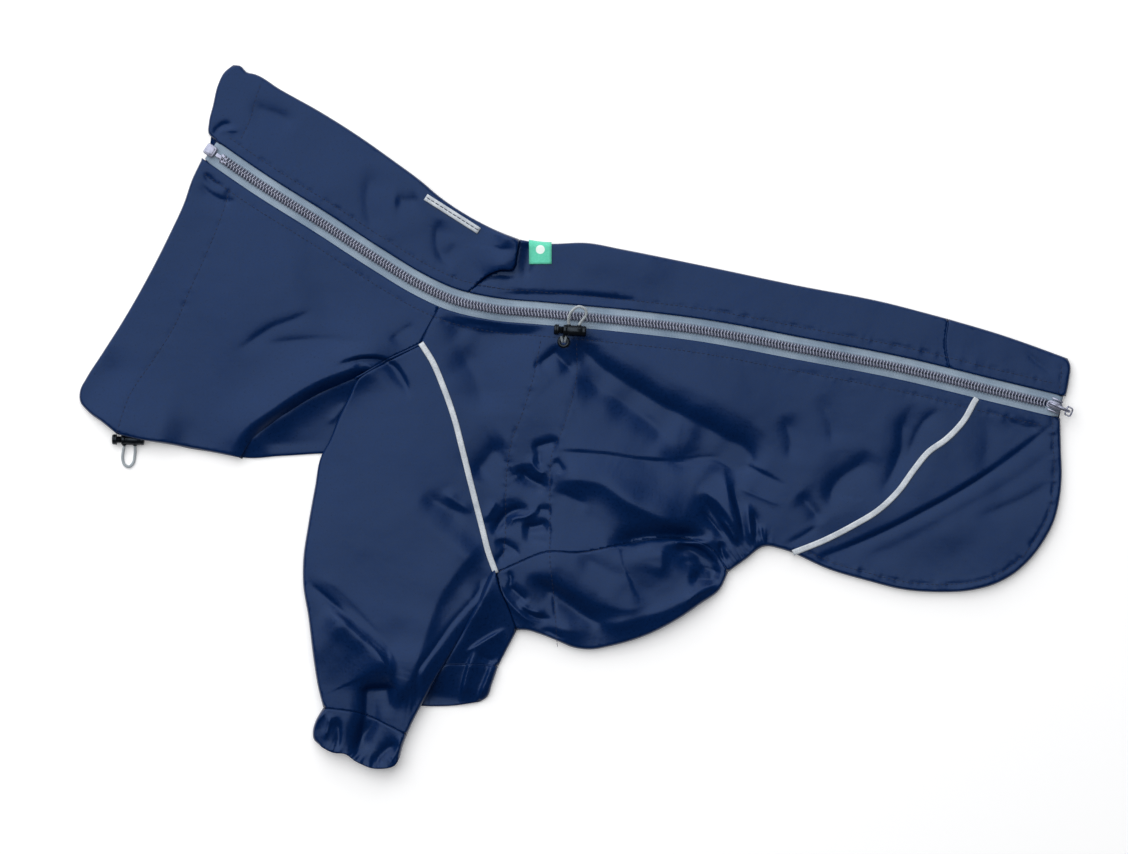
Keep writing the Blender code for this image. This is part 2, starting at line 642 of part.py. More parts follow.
def build_body(collection):
    near = sheet(
        ((zip_edge(-1, "shoulder", "hip_seam"), CUT_EDGE), (to_zip("hip_seam", -1), SEAM_EDGE),
         ("leg_edge", hem_lip), ("belly_seam", SEAM_EDGE), ("armhole", SEAM_EDGE),
         (to_zip("shoulder", -1), SEAM_EDGE)),
        near_face, FOLDS,
    )
    cloth("body_near", collection, top=near)

    def face(points):
        return near_face(points, TUCK_SHADOW)

    fold = ("back_body", halved(face))
    strip = sheet(
        ((zip_edge(1, "tuck", "hip_strip_seam"), CUT_EDGE), (to_zip("hip_strip_seam", 1), SEAM_EDGE), fold,
         (to_zip("tuck", 1), SEAM_EDGE)),
        face, FOLDS + TUCK_SHADOW,
    )
    under = sheet(
        (fold, ("hip_under_seam", SEAM_EDGE), ("hip_seam", SEAM_EDGE), ("leg_edge", CUT_EDGE),
         ("belly_seam", SEAM_EDGE), ("armhole", SEAM_EDGE), ("far_shoulder", SEAM_EDGE)),
        on_floor, spacing=FLOOR_LATTICE,
    )
    cloth("body_far", collection, top=strip, under=under)


def build_hips(collection):
    near = sheet(
        ((zip_edge(-1, "hip_seam", None), CUT_EDGE), ("hip_hem", hem_lip), (to_zip("hip_seam", -1), SEAM_EDGE)),
        near_face, FOLDS,
    )
    cloth("hip_near", collection, top=near)
    fold = ("back_hip", halved(near_face))
    strip = sheet(
        ((zip_edge(1, "hip_strip_seam", None), CUT_EDGE), ("tail_far", hem_lip), fold,
         (to_zip("hip_strip_seam", 1), SEAM_EDGE)),
        near_face, FOLDS,
    )
    under = sheet(
        (fold, ("tail_under", CUT_EDGE), ("hip_seam", SEAM_EDGE), ("hip_under_seam", SEAM_EDGE)),
        on_floor, spacing=FLOOR_LATTICE,
    )
    cloth("hip_far", collection, top=strip, under=under)


def tube(name, collection, edges, folds, face, floor, creases=FOLDS):
    """A flattened sleeve: an upper and a lower face that join along its long folds. edges gives its
    outline in order, each (name, kind), and folds the names of those that are folds."""
    middle = halved(face, floor)
    runs = [(edge, middle if edge in folds else kind) for edge, kind in edges]
    top = sheet(runs, face, creases)
    under = sheet(runs, floor, spacing=2 * LATTICE)
    cloth(name, collection, top=top, under=under)


def build_tubes(collection):
    tube(
        "belly_panel", collection,
        (("belly_seam", SEAM_EDGE), ("belly_fold", None), ("underarm", SEAM_EDGE)),
        ("belly_fold",), near_face, on_floor,
    )
    tube(
        "sleeve_near", collection,
        (("armhole", SEAM_EDGE), ("sleeve_rear", None), ("cuff_seam", SEAM_EDGE), ("sleeve_front", None)),
        ("sleeve_front", "sleeve_rear"), sleeve_face, sleeve_floor,
    )
    tube(
        "cuff_near", collection,
        (("cuff_seam", SEAM_EDGE), ("cuff_rear", None), ("cuff_end", CUT_EDGE), ("cuff_front", None)),
        ("cuff_front", "cuff_rear"), sleeve_face, sleeve_floor,
    )
    tube(
        "sleeve_far", collection,
        (("armhole", SEAM_EDGE), ("underarm", SEAM_EDGE), ("far_rear", None), ("far_cuff_seam", SEAM_EDGE),
         ("far_front", None)),
        ("far_front", "far_rear"), far_sleeve_face, on_floor, FAR_SLEEVE_FOLDS,
    )
    tube(
        "cuff_far", collection,
        (("far_cuff_seam", SEAM_EDGE), ("far_cuff_rear", None), ("far_cuff_end", CUT_EDGE),
         ("far_cuff_front", None)),
        ("far_cuff_front", "far_cuff_rear"), far_sleeve_face, on_floor, FAR_SLEEVE_FOLDS,
    )


# ---- sewn-on trim, zip and drawcords ----


def build_trim(collection):
    half = PIPING_WIDTH / 2
    for name, line, face in (
        ("piping_armhole", line_of("armhole"), sleeve_face),
        ("piping_hip", to_zip("hip_seam", -1), near_face),
    ):
        ribbon(name, collection, line, (-half, half), ON_CLOTH + PIPING, PIPING, "retroreflective_silver",
               face)
    strip = smooth(((-92.5, 136), (-76, 125.5), (-59.5, 115)), 6)
    ribbon("reflective_strip", collection, strip, (-2.2, 2.2), ON_CLOTH + LABEL, LABEL,
           "retroreflective_silver")


def build_label(collection):
    """A small folded label, sewn over the back's fold."""
    foot, reach = 94.5, ON_CLOTH + LABEL
    back = line_of("back_body")
    rows = []
    for x in (-28.5, -21.5, -14.5):
        row = []
        edge = np.interp(x, back[:, 0], back[:, 1])
        for y in (foot, foot + 5, edge - ROLL):
            row.append((x, y, float(near_face(np.array(((x, y),)))[0]) + reach))
        middle = (row[-1][2] - reach) / 2
        for angle in (60, 30, 0):
            out, up = math.cos(math.radians(angle)), math.sin(math.radians(angle))
            row.append((x, edge - ROLL + (ROLL + reach) * out, middle + (middle + reach) * up))
        rows.append(row[::-1])
    strip_of(rows, "label", collection, LABEL, "woven_label_teal")


def box_into(mesh, size, centre):
    scale = Matrix.Diagonal((*(side * MM for side in size), 1))
    bmesh.ops.create_cube(mesh, size=1, matrix=Matrix.Translation(Vector(centre) * MM) @ scale)


def box_object(name, size, centre, material, collection, matrix):
    mesh = bmesh.new()
    box_into(mesh, size, centre)
    data = bpy.data.meshes.new(name)
    mesh.to_mesh(data)
    mesh.free()
    return add_object(name, data, material, collection, matrix)


def placed(point, height, angle):
    place = Matrix.Translation((point[0] * MM, point[1] * MM, height * MM))
    return place @ Matrix.Rotation(angle, 4, "Z")


def zip_run(start, end):
    """The zip's line between two distances along it, the second back from its end."""
    line = smooth(LINES["zip"], 1)
    return smooth(line[round(start) : len(line) - round(end)], EDGE_STEP)


def zip_place(at):
    """The frame on the cloth's face where the zip has run this far, or this far from its end where at
    is negative, turned along it."""
    line = smooth(LINES["zip"], 1)
    i = round(at) if at >= 0 else len(line) + round(at)
    run = line[i + 1] - line[i - 1]
    return placed(line[i], float(near_face(line[i : i + 1])[0]), math.atan2(run[1], run[0]))


def build_zip(collection):
    for name, side in (("zip_tape_near", -1), ("zip_tape_far", 1)):
        line = zip_run(TAPE_START, 0)
        to_end = np.linspace(len(smooth(LINES["zip"], 1)) - TAPE_START, 0, len(line))
        inner = side * (0.15 + 1.6 * eased((SLIDER_AT + 20 - to_end) / 12))
        under = eased(np.minimum(to_end, to_end[::-1]) / 14)
        outer = side * (SLOT - 0.6 + (TUCKED + 0.6) * under)
        middle = side * (SLOT - 1.2 + 1.2 * under)
        offsets = (outer, middle, inner) if side < 0 else (inner, middle, outer)
        ribbon(name, collection, line, offsets, -TAPE_DROP, TAPE, "woven_tape_grey_blue")
    half = CHAIN_WIDTH / 2
    chain = zip_run(BOX_AT + 5, SLIDER_AT + SLIDER_LENGTH / 2 + 1)
    ribbon("zip_chain", collection, chain, (-half, half), SEAM + CHAIN - TAPE_DROP, CHAIN,
           "metallised_nylon_silver")
    size = (7.0, 7.2, 3.0)
    box = box_object("zip_box", size, (0, 0, SEAM + size[2] / 2 - TAPE_DROP), "metallised_nylon_silver",
                     collection, zip_place(BOX_AT))
    edge = box.modifiers.new("edge", "BEVEL")
    edge.width = 0.8 * MM
    edge.segments = 2


def build_slider(collection):
    """Two plates and a post, side rails over the teeth, and a crown whose eye carries the pull."""
    wide, narrow, post = 8.4, 2.6, 2.0
    top, bar, back = 2.0, HINGE_HEIGHT + 1.8, HINGE_REACH - 2.4
    pieces = (
        # size x, y, z, then centre x, y, z
        ((SLIDER_LENGTH, wide, 1.0), (0, 0, -TAPE_DROP - TAPE - 0.9)),
        ((SLIDER_LENGTH, wide, 1.2), (0, 0, top)),
        ((narrow, post, top + TAPE_DROP + 2.4), (2.6, 0, (top - TAPE_DROP - 2) / 2)),
        ((SLIDER_LENGTH, 0.9, 2.0), (0, 3.7, top - 1)),
        ((SLIDER_LENGTH, 0.9, 2.0), (0, -3.7, top - 1)),
        ((2.2, narrow, bar - top), (-3.2, 0, (bar + top) / 2)),
        ((HINGE_REACH + 6.2, narrow, 1.2), (HINGE_REACH / 2 - 1.2, 0, bar)),
        ((1.2, narrow, 4.8), (HINGE_REACH + 1.8, 0, HINGE_HEIGHT)),
        ((HINGE_REACH - back + 2.2, narrow, 1.2), ((HINGE_REACH + back + 1.2) / 2, 0, HINGE_HEIGHT - 1.8)),
        ((1.2, narrow, 4.8), (back, 0, HINGE_HEIGHT)),
    )
    frame = zip_place(-SLIDER_AT) @ Matrix.Rotation(SLIDER_TURN, 4, "Z")
    material = "metallised_nylon_silver"
    slider = box_object("zip_slider", *pieces[0], material, collection, frame)
    for i, (size, centre) in enumerate(pieces[1:]):
        piece = box_object(f"slider_piece_{i}", size, centre, material, bpy.data.collections["cutters"], frame)
        piece.hide_render = True
        piece.display_type = "WIRE"
        join = slider.modifiers.new(f"piece_{i}", "BOOLEAN")
        join.operation = "UNION"
        join.object = piece


def tube_curve(name, collection, points, radius, material, cyclic=False, matrix=None):
    data = bpy.data.curves.new(name, "CURVE")
    data.dimensions = "3D"
    data.bevel_depth = radius * MM
    data.bevel_resolution = 2
    data.use_fill_caps = not cyclic
    spline = data.splines.new("POLY")
    spline.points.add(len(points) - 1)
    for target, point in zip(spline.points, points):
        target.co = (*(Vector(point) * MM), 1)
    spline.use_cyclic_u = cyclic
    return add_object(name, data, material, collection, matrix)


def build_pull(collection):
    """A wire loop through the crown's eye, hanging past the tail end."""
    side, corner, wire = 2.6, 1.6, 0.55
    half = (
        (0, side - corner / 2), (corner / 2, side), (PULL_LENGTH - corner, side),
        (PULL_LENGTH - corner / 3, side - corner / 3), (PULL_LENGTH, side - corner),
    )
    loop = half + tuple((x, -y) for x, y in half[::-1])
    points = [(x * math.cos(PULL_HANG), y, -x * math.sin(PULL_HANG)) for x, y in loop]
    frame = zip_place(-SLIDER_AT) @ Matrix.Rotation(SLIDER_TURN, 4, "Z")
    hinge = frame @ Matrix.Translation((HINGE_REACH * MM, 0, HINGE_HEIGHT * MM))
    tube_curve("zip_pull", collection, points, wire, "metallised_nylon_silver", True, hinge)


def turned(name, collection, profile, material, matrix, ring=False):
    """A turned piece about its own Z. The profile is (radius, height) rows, down its outer side, and a
    ring's closes on itself."""
    mesh = bmesh.new()
    vertices = [mesh.verts.new((radius * MM, 0, height * MM)) for radius, height in profile]
    for a, b in zip(vertices, vertices[1:] + vertices[:1] if ring else vertices[1:]):
        mesh.edges.new((a, b))
    data = bpy.data.meshes.new(name)
    mesh.to_mesh(data)
    mesh.free()
    made = add_object(name, data, material, collection, matrix)
    turn = made.modifiers.new("turn", "SCREW")
    turn.steps = turn.render_steps = 20
    turn.use_merge_vertices = True
    turn.merge_threshold = 0.00001
    return made


def build_lock(name, collection, head, height, heading):
    """A barrel cord lock: a bored barrel and the sprung plunger whose head stands out of it. The
    barrel's axis runs from the head at the given heading, and lies level."""
    frame = placed(head, height, heading) @ Matrix.Rotation(math.radians(90), 4, "Y")
    mouth = LOCK_HEAD + LOCK_TRAVEL + FIT
    end = mouth + LOCK_LENGTH
    floor = mouth + LOCK_STEM
    turned(
        f"{name}_lock", collection,
        ((0, end), (LOCK_RADIUS - 0.8, end), (LOCK_RADIUS, end - 0.8), (LOCK_RADIUS, mouth + 0.4),
         (LOCK_RADIUS - 0.4, mouth), (LOCK_BORE, mouth), (LOCK_BORE, floor), (0, floor)),
        "moulded_nylon_black", frame,
    )
    stem = LOCK_BORE - FIT
    turned(
        f"{name}_plunger", collection,
        ((0, floor - LOCK_TRAVEL - FIT), (stem, floor - LOCK_TRAVEL - FIT), (stem, LOCK_HEAD),
         (LOCK_RADIUS - 0.2, LOCK_HEAD), (LOCK_RADIUS, LOCK_HEAD - 0.3), (LOCK_RADIUS, 0.6),
         (LOCK_RADIUS - 0.7, 0), (0, 0)),
        "moulded_nylon_black", frame,
    )


def highest(centre, half_length, half_width):
    """The cloth's greatest height under a small piece that lies along X."""
    x = centre[0] + np.linspace(-half_length, half_length, 9)
    y = centre[1] + np.linspace(-half_width, half_width, 5)
    grid = np.stack(np.meshgrid(x, y), 2).reshape(-1, 2)
    return float(near_face(grid).max())


def build_eyelet(collection):
    eye, outer, hole, thick = (-7.0, 46.3), 3.9, 1.9, 0.9
    height = highest(eye, outer, outer) + ON_CLOTH
    profile = ((hole + 0.4, thick), (outer - 0.5, thick), (outer, thick * 0.5), (outer, 0), (hole, 0),
               (hole, thick * 0.5))
    turned("waist_eyelet", collection, profile, "moulded_nylon_black", placed(eye, height, 0), ring=True)


def build_cords(collection):
    waist = (-13.0, 53.9)
    waist_height = highest((waist[0] + 10, waist[1] - 0.6), 11, LOCK_RADIUS + 0.6) + ON_CLOTH + LOCK_RADIUS
    neck_height = LOCK_RADIUS + ON_CLOTH
    build_lock("waist", collection, waist, waist_height, math.radians(-4))
    build_lock("neck", collection, (-287.0, -14.2), neck_height, math.radians(-1))
    side = LOCK_RADIUS + 2 * FIT
    waist_route = (
        (-3.8, 53.2 + side, waist_height), (-3.9, 60.5, waist_height + 2), (-2, 65, waist_height + 4.5),
        (2.2, 67.8, waist_height + 5.5), (6.3, 66.2, waist_height + 4.5), (6.8, 62.6, waist_height + 3),
        (4.4, 59.4, waist_height + 1.2), (2.6, 52.8 + side, waist_height),
    )
    low = CORD / 2 + 0.1
    neck_route = (
        (-279.4, -14.4 - side, neck_height), (-280.2, -21.5, 2.4), (-280.7, -26.4, low), (-279.2, -30.2, low),
        (-276.7, -31.1, low), (-274.2, -28.8, low), (-273.2, -24.4, low), (-272.8, -20.8, 2.2),
        (-272.8, -14.5 - side, neck_height),
    )
    for name, route in (("waist_cord", waist_route), ("neck_cord", neck_route)):
        tube_curve(name, collection, smooth(route, 1.6 * CORD), CORD / 2, "elastic_cord_grey")


def main():
    for old in list(bpy.data.objects):
        bpy.data.objects.remove(old, do_unlink=True)
    parts = bpy.data.collections.new("dog_raincoat")
    cutters = bpy.data.collections.new("cutters")
    cutters.hide_render = True
    for collection in (parts, cutters):
        bpy.context.scene.collection.children.link(collection)
    for build in (build_neck, build_chest, build_body, build_hips, build_tubes, build_trim, build_label,
                  build_zip, build_slider, build_pull, build_eyelet, build_cords):
        build(parts)


main()
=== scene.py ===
"""A dog's raincoat of coated nylon, zipped shut and laid flat on its right side.

Its back runs along +X from the neck (-X) to the tail and its near side faces up. Tables are in millimetres.
"""

import math

import bpy
import numpy as np
from mathutils import Matrix, Vector, noise
from mathutils.geometry import delaunay_2d_cdt


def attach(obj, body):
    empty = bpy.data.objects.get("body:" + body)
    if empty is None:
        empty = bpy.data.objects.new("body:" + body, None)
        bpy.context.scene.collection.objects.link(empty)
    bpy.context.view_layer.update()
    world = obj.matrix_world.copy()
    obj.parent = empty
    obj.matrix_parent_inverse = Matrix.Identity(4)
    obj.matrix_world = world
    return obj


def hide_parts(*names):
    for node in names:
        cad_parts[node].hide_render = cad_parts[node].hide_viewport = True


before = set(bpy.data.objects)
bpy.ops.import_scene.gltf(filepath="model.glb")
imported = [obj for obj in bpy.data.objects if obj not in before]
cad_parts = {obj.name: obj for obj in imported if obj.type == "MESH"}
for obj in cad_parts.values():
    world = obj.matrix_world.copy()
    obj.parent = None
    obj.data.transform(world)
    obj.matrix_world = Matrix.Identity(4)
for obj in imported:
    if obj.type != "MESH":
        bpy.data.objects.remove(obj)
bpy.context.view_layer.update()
scene = bpy.context.scene
MM = 0.001


# ---- Camera ----
# The coat is looked at from straight above, through a long lens that shows a field 699 mm wide.

FIELD = 0.6994
FIELD_CENTRE = (-0.0068, -0.0065)
LENS_HEIGHT = 3.2
lens = bpy.data.cameras.new("camera")
lens.sensor_width = 36
lens.lens = lens.sensor_width * (LENS_HEIGHT - 0.004) / FIELD
camera = bpy.data.objects.new("camera", lens)
camera.location = (*FIELD_CENTRE, LENS_HEIGHT)
scene.collection.objects.link(camera)
scene.camera = camera


# ---- Table and light ----
# A matt white table under a wide diffuser that reaches from overhead to the coat's far side, so that
# level cloth mirrors it and slopes that face the viewer don't. A tall window beyond adds to it.

scene.view_settings.view_transform = "Standard"


def linear(code):
    """A colour's sRGB hex code as linear red, green, blue and alpha."""
    parts = [int(code[i : i + 2], 16) / 255 for i in (1, 3, 5)]
    return (*(c / 12.92 if c <= 0.04045 else ((c + 0.055) / 1.055) ** 2.4 for c in parts), 1)


def add(tree, kind, inputs=(), **settings):
    """A node of this kind with its settings. inputs gives each socket a value, or a socket to link from."""
    made = tree.nodes.new(kind)
    for name, value in settings.items():
        setattr(made, name, value)
    for socket, value in dict(inputs).items():
        if isinstance(value, bpy.types.NodeSocket):
            tree.links.new(value, made.inputs[socket])
        else:
            made.inputs[socket].default_value = value
    return made


def finish_of(name, colour, roughness, metallic=0.0, **sockets):
    """A material, its node tree and its Principled shader, with the values that are the same all over."""
    made = bpy.data.materials.new(name)
    made.use_nodes = True
    shader = made.node_tree.nodes["Principled BSDF"]
    shader.inputs["Base Color"].default_value = linear(colour)
    shader.inputs["Roughness"].default_value = roughness
    shader.inputs["Metallic"].default_value = metallic
    for socket, value in sockets.items():
        shader.inputs[socket.replace("_", " ").title().replace("Ior", "IOR")].default_value = value
    return made, made.node_tree, shader


def bumped(tree, shader, height, distance, strength, under=None):
    """Gives the shader a bump from a height socket, its full height a distance in millimetres."""
    inputs = {"Height": height, "Distance": distance * MM, "Strength": strength}
    if under:
        inputs["Normal"] = under
    bump = add(tree, "ShaderNodeBump", inputs)
    tree.links.new(bump.outputs["Normal"], shader.inputs["Normal"])
    return bump.outputs["Normal"]


def object_of(name, points, faces):
    """A smooth-shaded object at the origin from points in millimetres."""
    data = bpy.data.meshes.new(name)
    data.from_pydata((np.asarray(points, float) * MM).tolist(), [], [tuple(map(int, face)) for face in faces])
    data.polygons.foreach_set("use_smooth", [True] * len(data.polygons))
    made = bpy.data.objects.new(name, data)
    scene.collection.objects.link(made)
    return made


tabletop, tree, shader = finish_of("matt white laminate", "#fafafa", 0.85)
place = add(tree, "ShaderNodeTexCoord")
grain = add(tree, "ShaderNodeTexNoise", {"Vector": place.outputs["Object"], "Scale": 900.0, "Detail": 2.0})
bumped(tree, shader, grain.outputs["Fac"], 0.02, 0.2)
shader.inputs["Emission Color"].default_value = linear("#ffffff")
shader.inputs["Emission Strength"].default_value = 0.14
HALF_TABLE = 3000
table = object_of(
    "table",
    [(x * HALF_TABLE, y * HALF_TABLE, -0.05) for x, y in ((-1, -1), (1, -1), (1, 1), (-1, 1))],
    [(0, 1, 2, 3)],
)
table.data.materials.append(tabletop)

room = bpy.data.worlds.new("white room")
room.use_nodes = True
room.node_tree.nodes["Background"].inputs["Color"].default_value = linear("#f3f6ff")
room.node_tree.nodes["Background"].inputs["Strength"].default_value = 0.1
scene.world = room
for name, radiance, size, where, towards in (
    ("diffuser", 2.5, (4.2, 3.7), (-1.15, 1.35, 2.8), (-1.15, 1.35, 0)),
    ("window", 2.0, (8.0, 2.6), (-1.2, 3.2, 1.5), (-0.3, 0, 0)),
):
    glow = bpy.data.lights.new(name, "AREA")
    glow.shape = "RECTANGLE"
    glow.size, glow.size_y = size
    glow.energy = radiance * math.pi * size[0] * size[1]
    lamp = bpy.data.objects.new(name, glow)
    lamp.location = where
    lamp.rotation_euler = (Vector(where) - Vector(towards)).to_track_quat("Z", "Y").to_euler()
    scene.collection.objects.link(lamp)


# ---- Drawcords ----
# Round elastic cord of 1.8 mm with a braided polyester cover. One loop stands out of each cord lock:
# at the waist it rises over the zip, and at the neck it lies on the table.


def smooth(rows, step):
    """Points about step apart on the curve that runs smoothly through the rows, in any dimension."""
    rows = np.array(rows, float)
    spans = np.linalg.norm(np.diff(rows, axis=0), axis=1)
    slopes = np.gradient(rows, np.r_[0, np.cumsum(spans)], axis=0)
    along, t = [], np.linspace(0, 1, 17)[:-1, None]
    for i, span in enumerate(spans):
        along.append(
            rows[i] * (2 * t**3 - 3 * t**2 + 1)
            + slopes[i] * span * (t**3 - 2 * t**2 + t)
            + rows[i + 1] * (3 * t**2 - 2 * t**3)
            + slopes[i + 1] * span * (t**3 - t**2)
        )
    fine = np.vstack(along + [rows[-1:]])
    length = np.r_[0, np.cumsum(np.linalg.norm(np.diff(fine, axis=0), axis=1))]
    at = np.linspace(0, length[-1], max(2, round(length[-1] / step) + 1))
    return np.stack([np.interp(at, length, column) for column in fine.T], 1)


def rod(line, radius, sides=10):
    """(points, faces) of a round rod with closed ends along a line of points."""
    line = np.asarray(line, float)
    run = np.gradient(line, axis=0)
    run /= np.linalg.norm(run, axis=1)[:, None]
    side = np.cross(run[0], (0.31, 0.17, 0.93))
    points = []
    for centre, ahead in zip(line, run):
        side = side - ahead * (side @ ahead)
        side /= np.linalg.norm(side)
        for turn in np.linspace(0, 2 * math.pi, sides, endpoint=False):
            points.append(centre + radius * (side * math.cos(turn) + np.cross(ahead, side) * math.sin(turn)))
    faces = []
    for i in range(len(line) - 1):
        a, b = i * sides, (i + 1) * sides
        faces += [(a + k, a + (k + 1) % sides, b + (k + 1) % sides, b + k) for k in range(sides)]
    faces += [tuple(range(sides))[::-1], tuple(range(len(points) - sides, len(points)))]
    return np.array(points), faces


def fixed(piece, material, nodes=(), body="garment"):
    """Gives a piece its material and slot, and has it ride on a body in place of its CAD nodes."""
    piece.data.materials.append(material)
    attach(piece, body)
    if nodes:
        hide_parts(*nodes)
    return piece


def mapped(piece, pairs):
    """A UV map from one pair of numbers a point."""
    layer = piece.data.uv_layers.new(name="cloth")
    corners = np.zeros(len(piece.data.loops), int)
    piece.data.loops.foreach_get("vertex_index", corners)
    layer.data.foreach_set("uv", np.asarray(pairs, float)[corners].ravel())


# Braided polyester cover: pale grey yarns crossing over a rubber core, matt and slightly fuzzy.
CORD = 1.8
CORD_SIDES = 12
braid, tree, shader = finish_of("braided polyester cord cover", "#a3adb4", 0.8, sheen_weight=0.3)
place = add(tree, "ShaderNodeTexCoord")
yarns = None
for slant in (1, -1):
    turned_map = add(
        tree, "ShaderNodeMapping",
        {"Vector": place.outputs["UV"], "Rotation": (0, 0, slant * math.radians(38))},
    )
    wave = add(tree, "ShaderNodeTexWave", {"Vector": turned_map.outputs["Vector"], "Scale": 2.4})
    yarns = wave if yarns is None else add(
        tree, "ShaderNodeMath", {0: yarns.outputs["Fac"], 1: wave.outputs["Fac"]}, operation="MAXIMUM"
    )
bumped(tree, shader, yarns.outputs[0], 0.25, 0.9)
tint = add(
    tree, "ShaderNodeMix", {0: yarns.outputs[0], 6: linear("#7c878f"), 7: linear("#bcc5cb")}, data_type="RGBA"
)
tree.links.new(tint.outputs[2], shader.inputs["Base Color"])

WAIST_LOCK = (-13.0, 53.9, 11.55)
NECK_LOCK = (-287.0, -14.2, 3.8)
LOOPS = {
    "waist": (
        (-3.8, 57.1, 11.55), (-3.9, 60.5, 13.55), (-2, 65, 16.05), (2.2, 67.8, 17.05), (6.3, 66.2, 16.05),
        (6.8, 62.6, 14.55), (4.4, 59.4, 12.75), (2.6, 56.7, 11.55),
    ),
    "neck": (
        (-279.4, -18.3, 3.8), (-280.2, -21.5, 2.4), (-280.7, -26.4, 1.0), (-279.2, -30.2, 1.0),
        (-276.7, -31.1, 1.0), (-274.2, -28.8, 1.0), (-273.2, -24.4, 1.0), (-272.8, -20.8, 2.2),
        (-272.8, -18.4, 3.8),
    ),
}
for where, rows in LOOPS.items():
    path = smooth(rows, 0.7)
    cord = object_of(f"{where}_loop", *rod(path, CORD / 2, CORD_SIDES))
    around = np.arange(len(cord.data.vertices)) % CORD_SIDES * math.pi * CORD / CORD_SIDES
    mapped(cord, np.stack([around, np.arange(len(around)) // CORD_SIDES * 0.7], 1) * 0.3)
    fixed(cord, braid, (f"{where}_cord",))


# ---- The near side's lie ----
# The coat's near half rests on the far half, a few millimetres above the table. Its cloth is stiff
# enough to hold soft folds, sharp puckers at the drawcord and a crush at the elastic leg edge.

REST = 6.0  # height of the near side's outer face where nothing lifts it
LEAST = 2.2  # the least height over the layer under it
SLEEVE_REST = 3.7  # height of the near sleeve's underside over the far one
ZIP_GAP = 6.9  # half the width of tape that shows between the cloth's edges

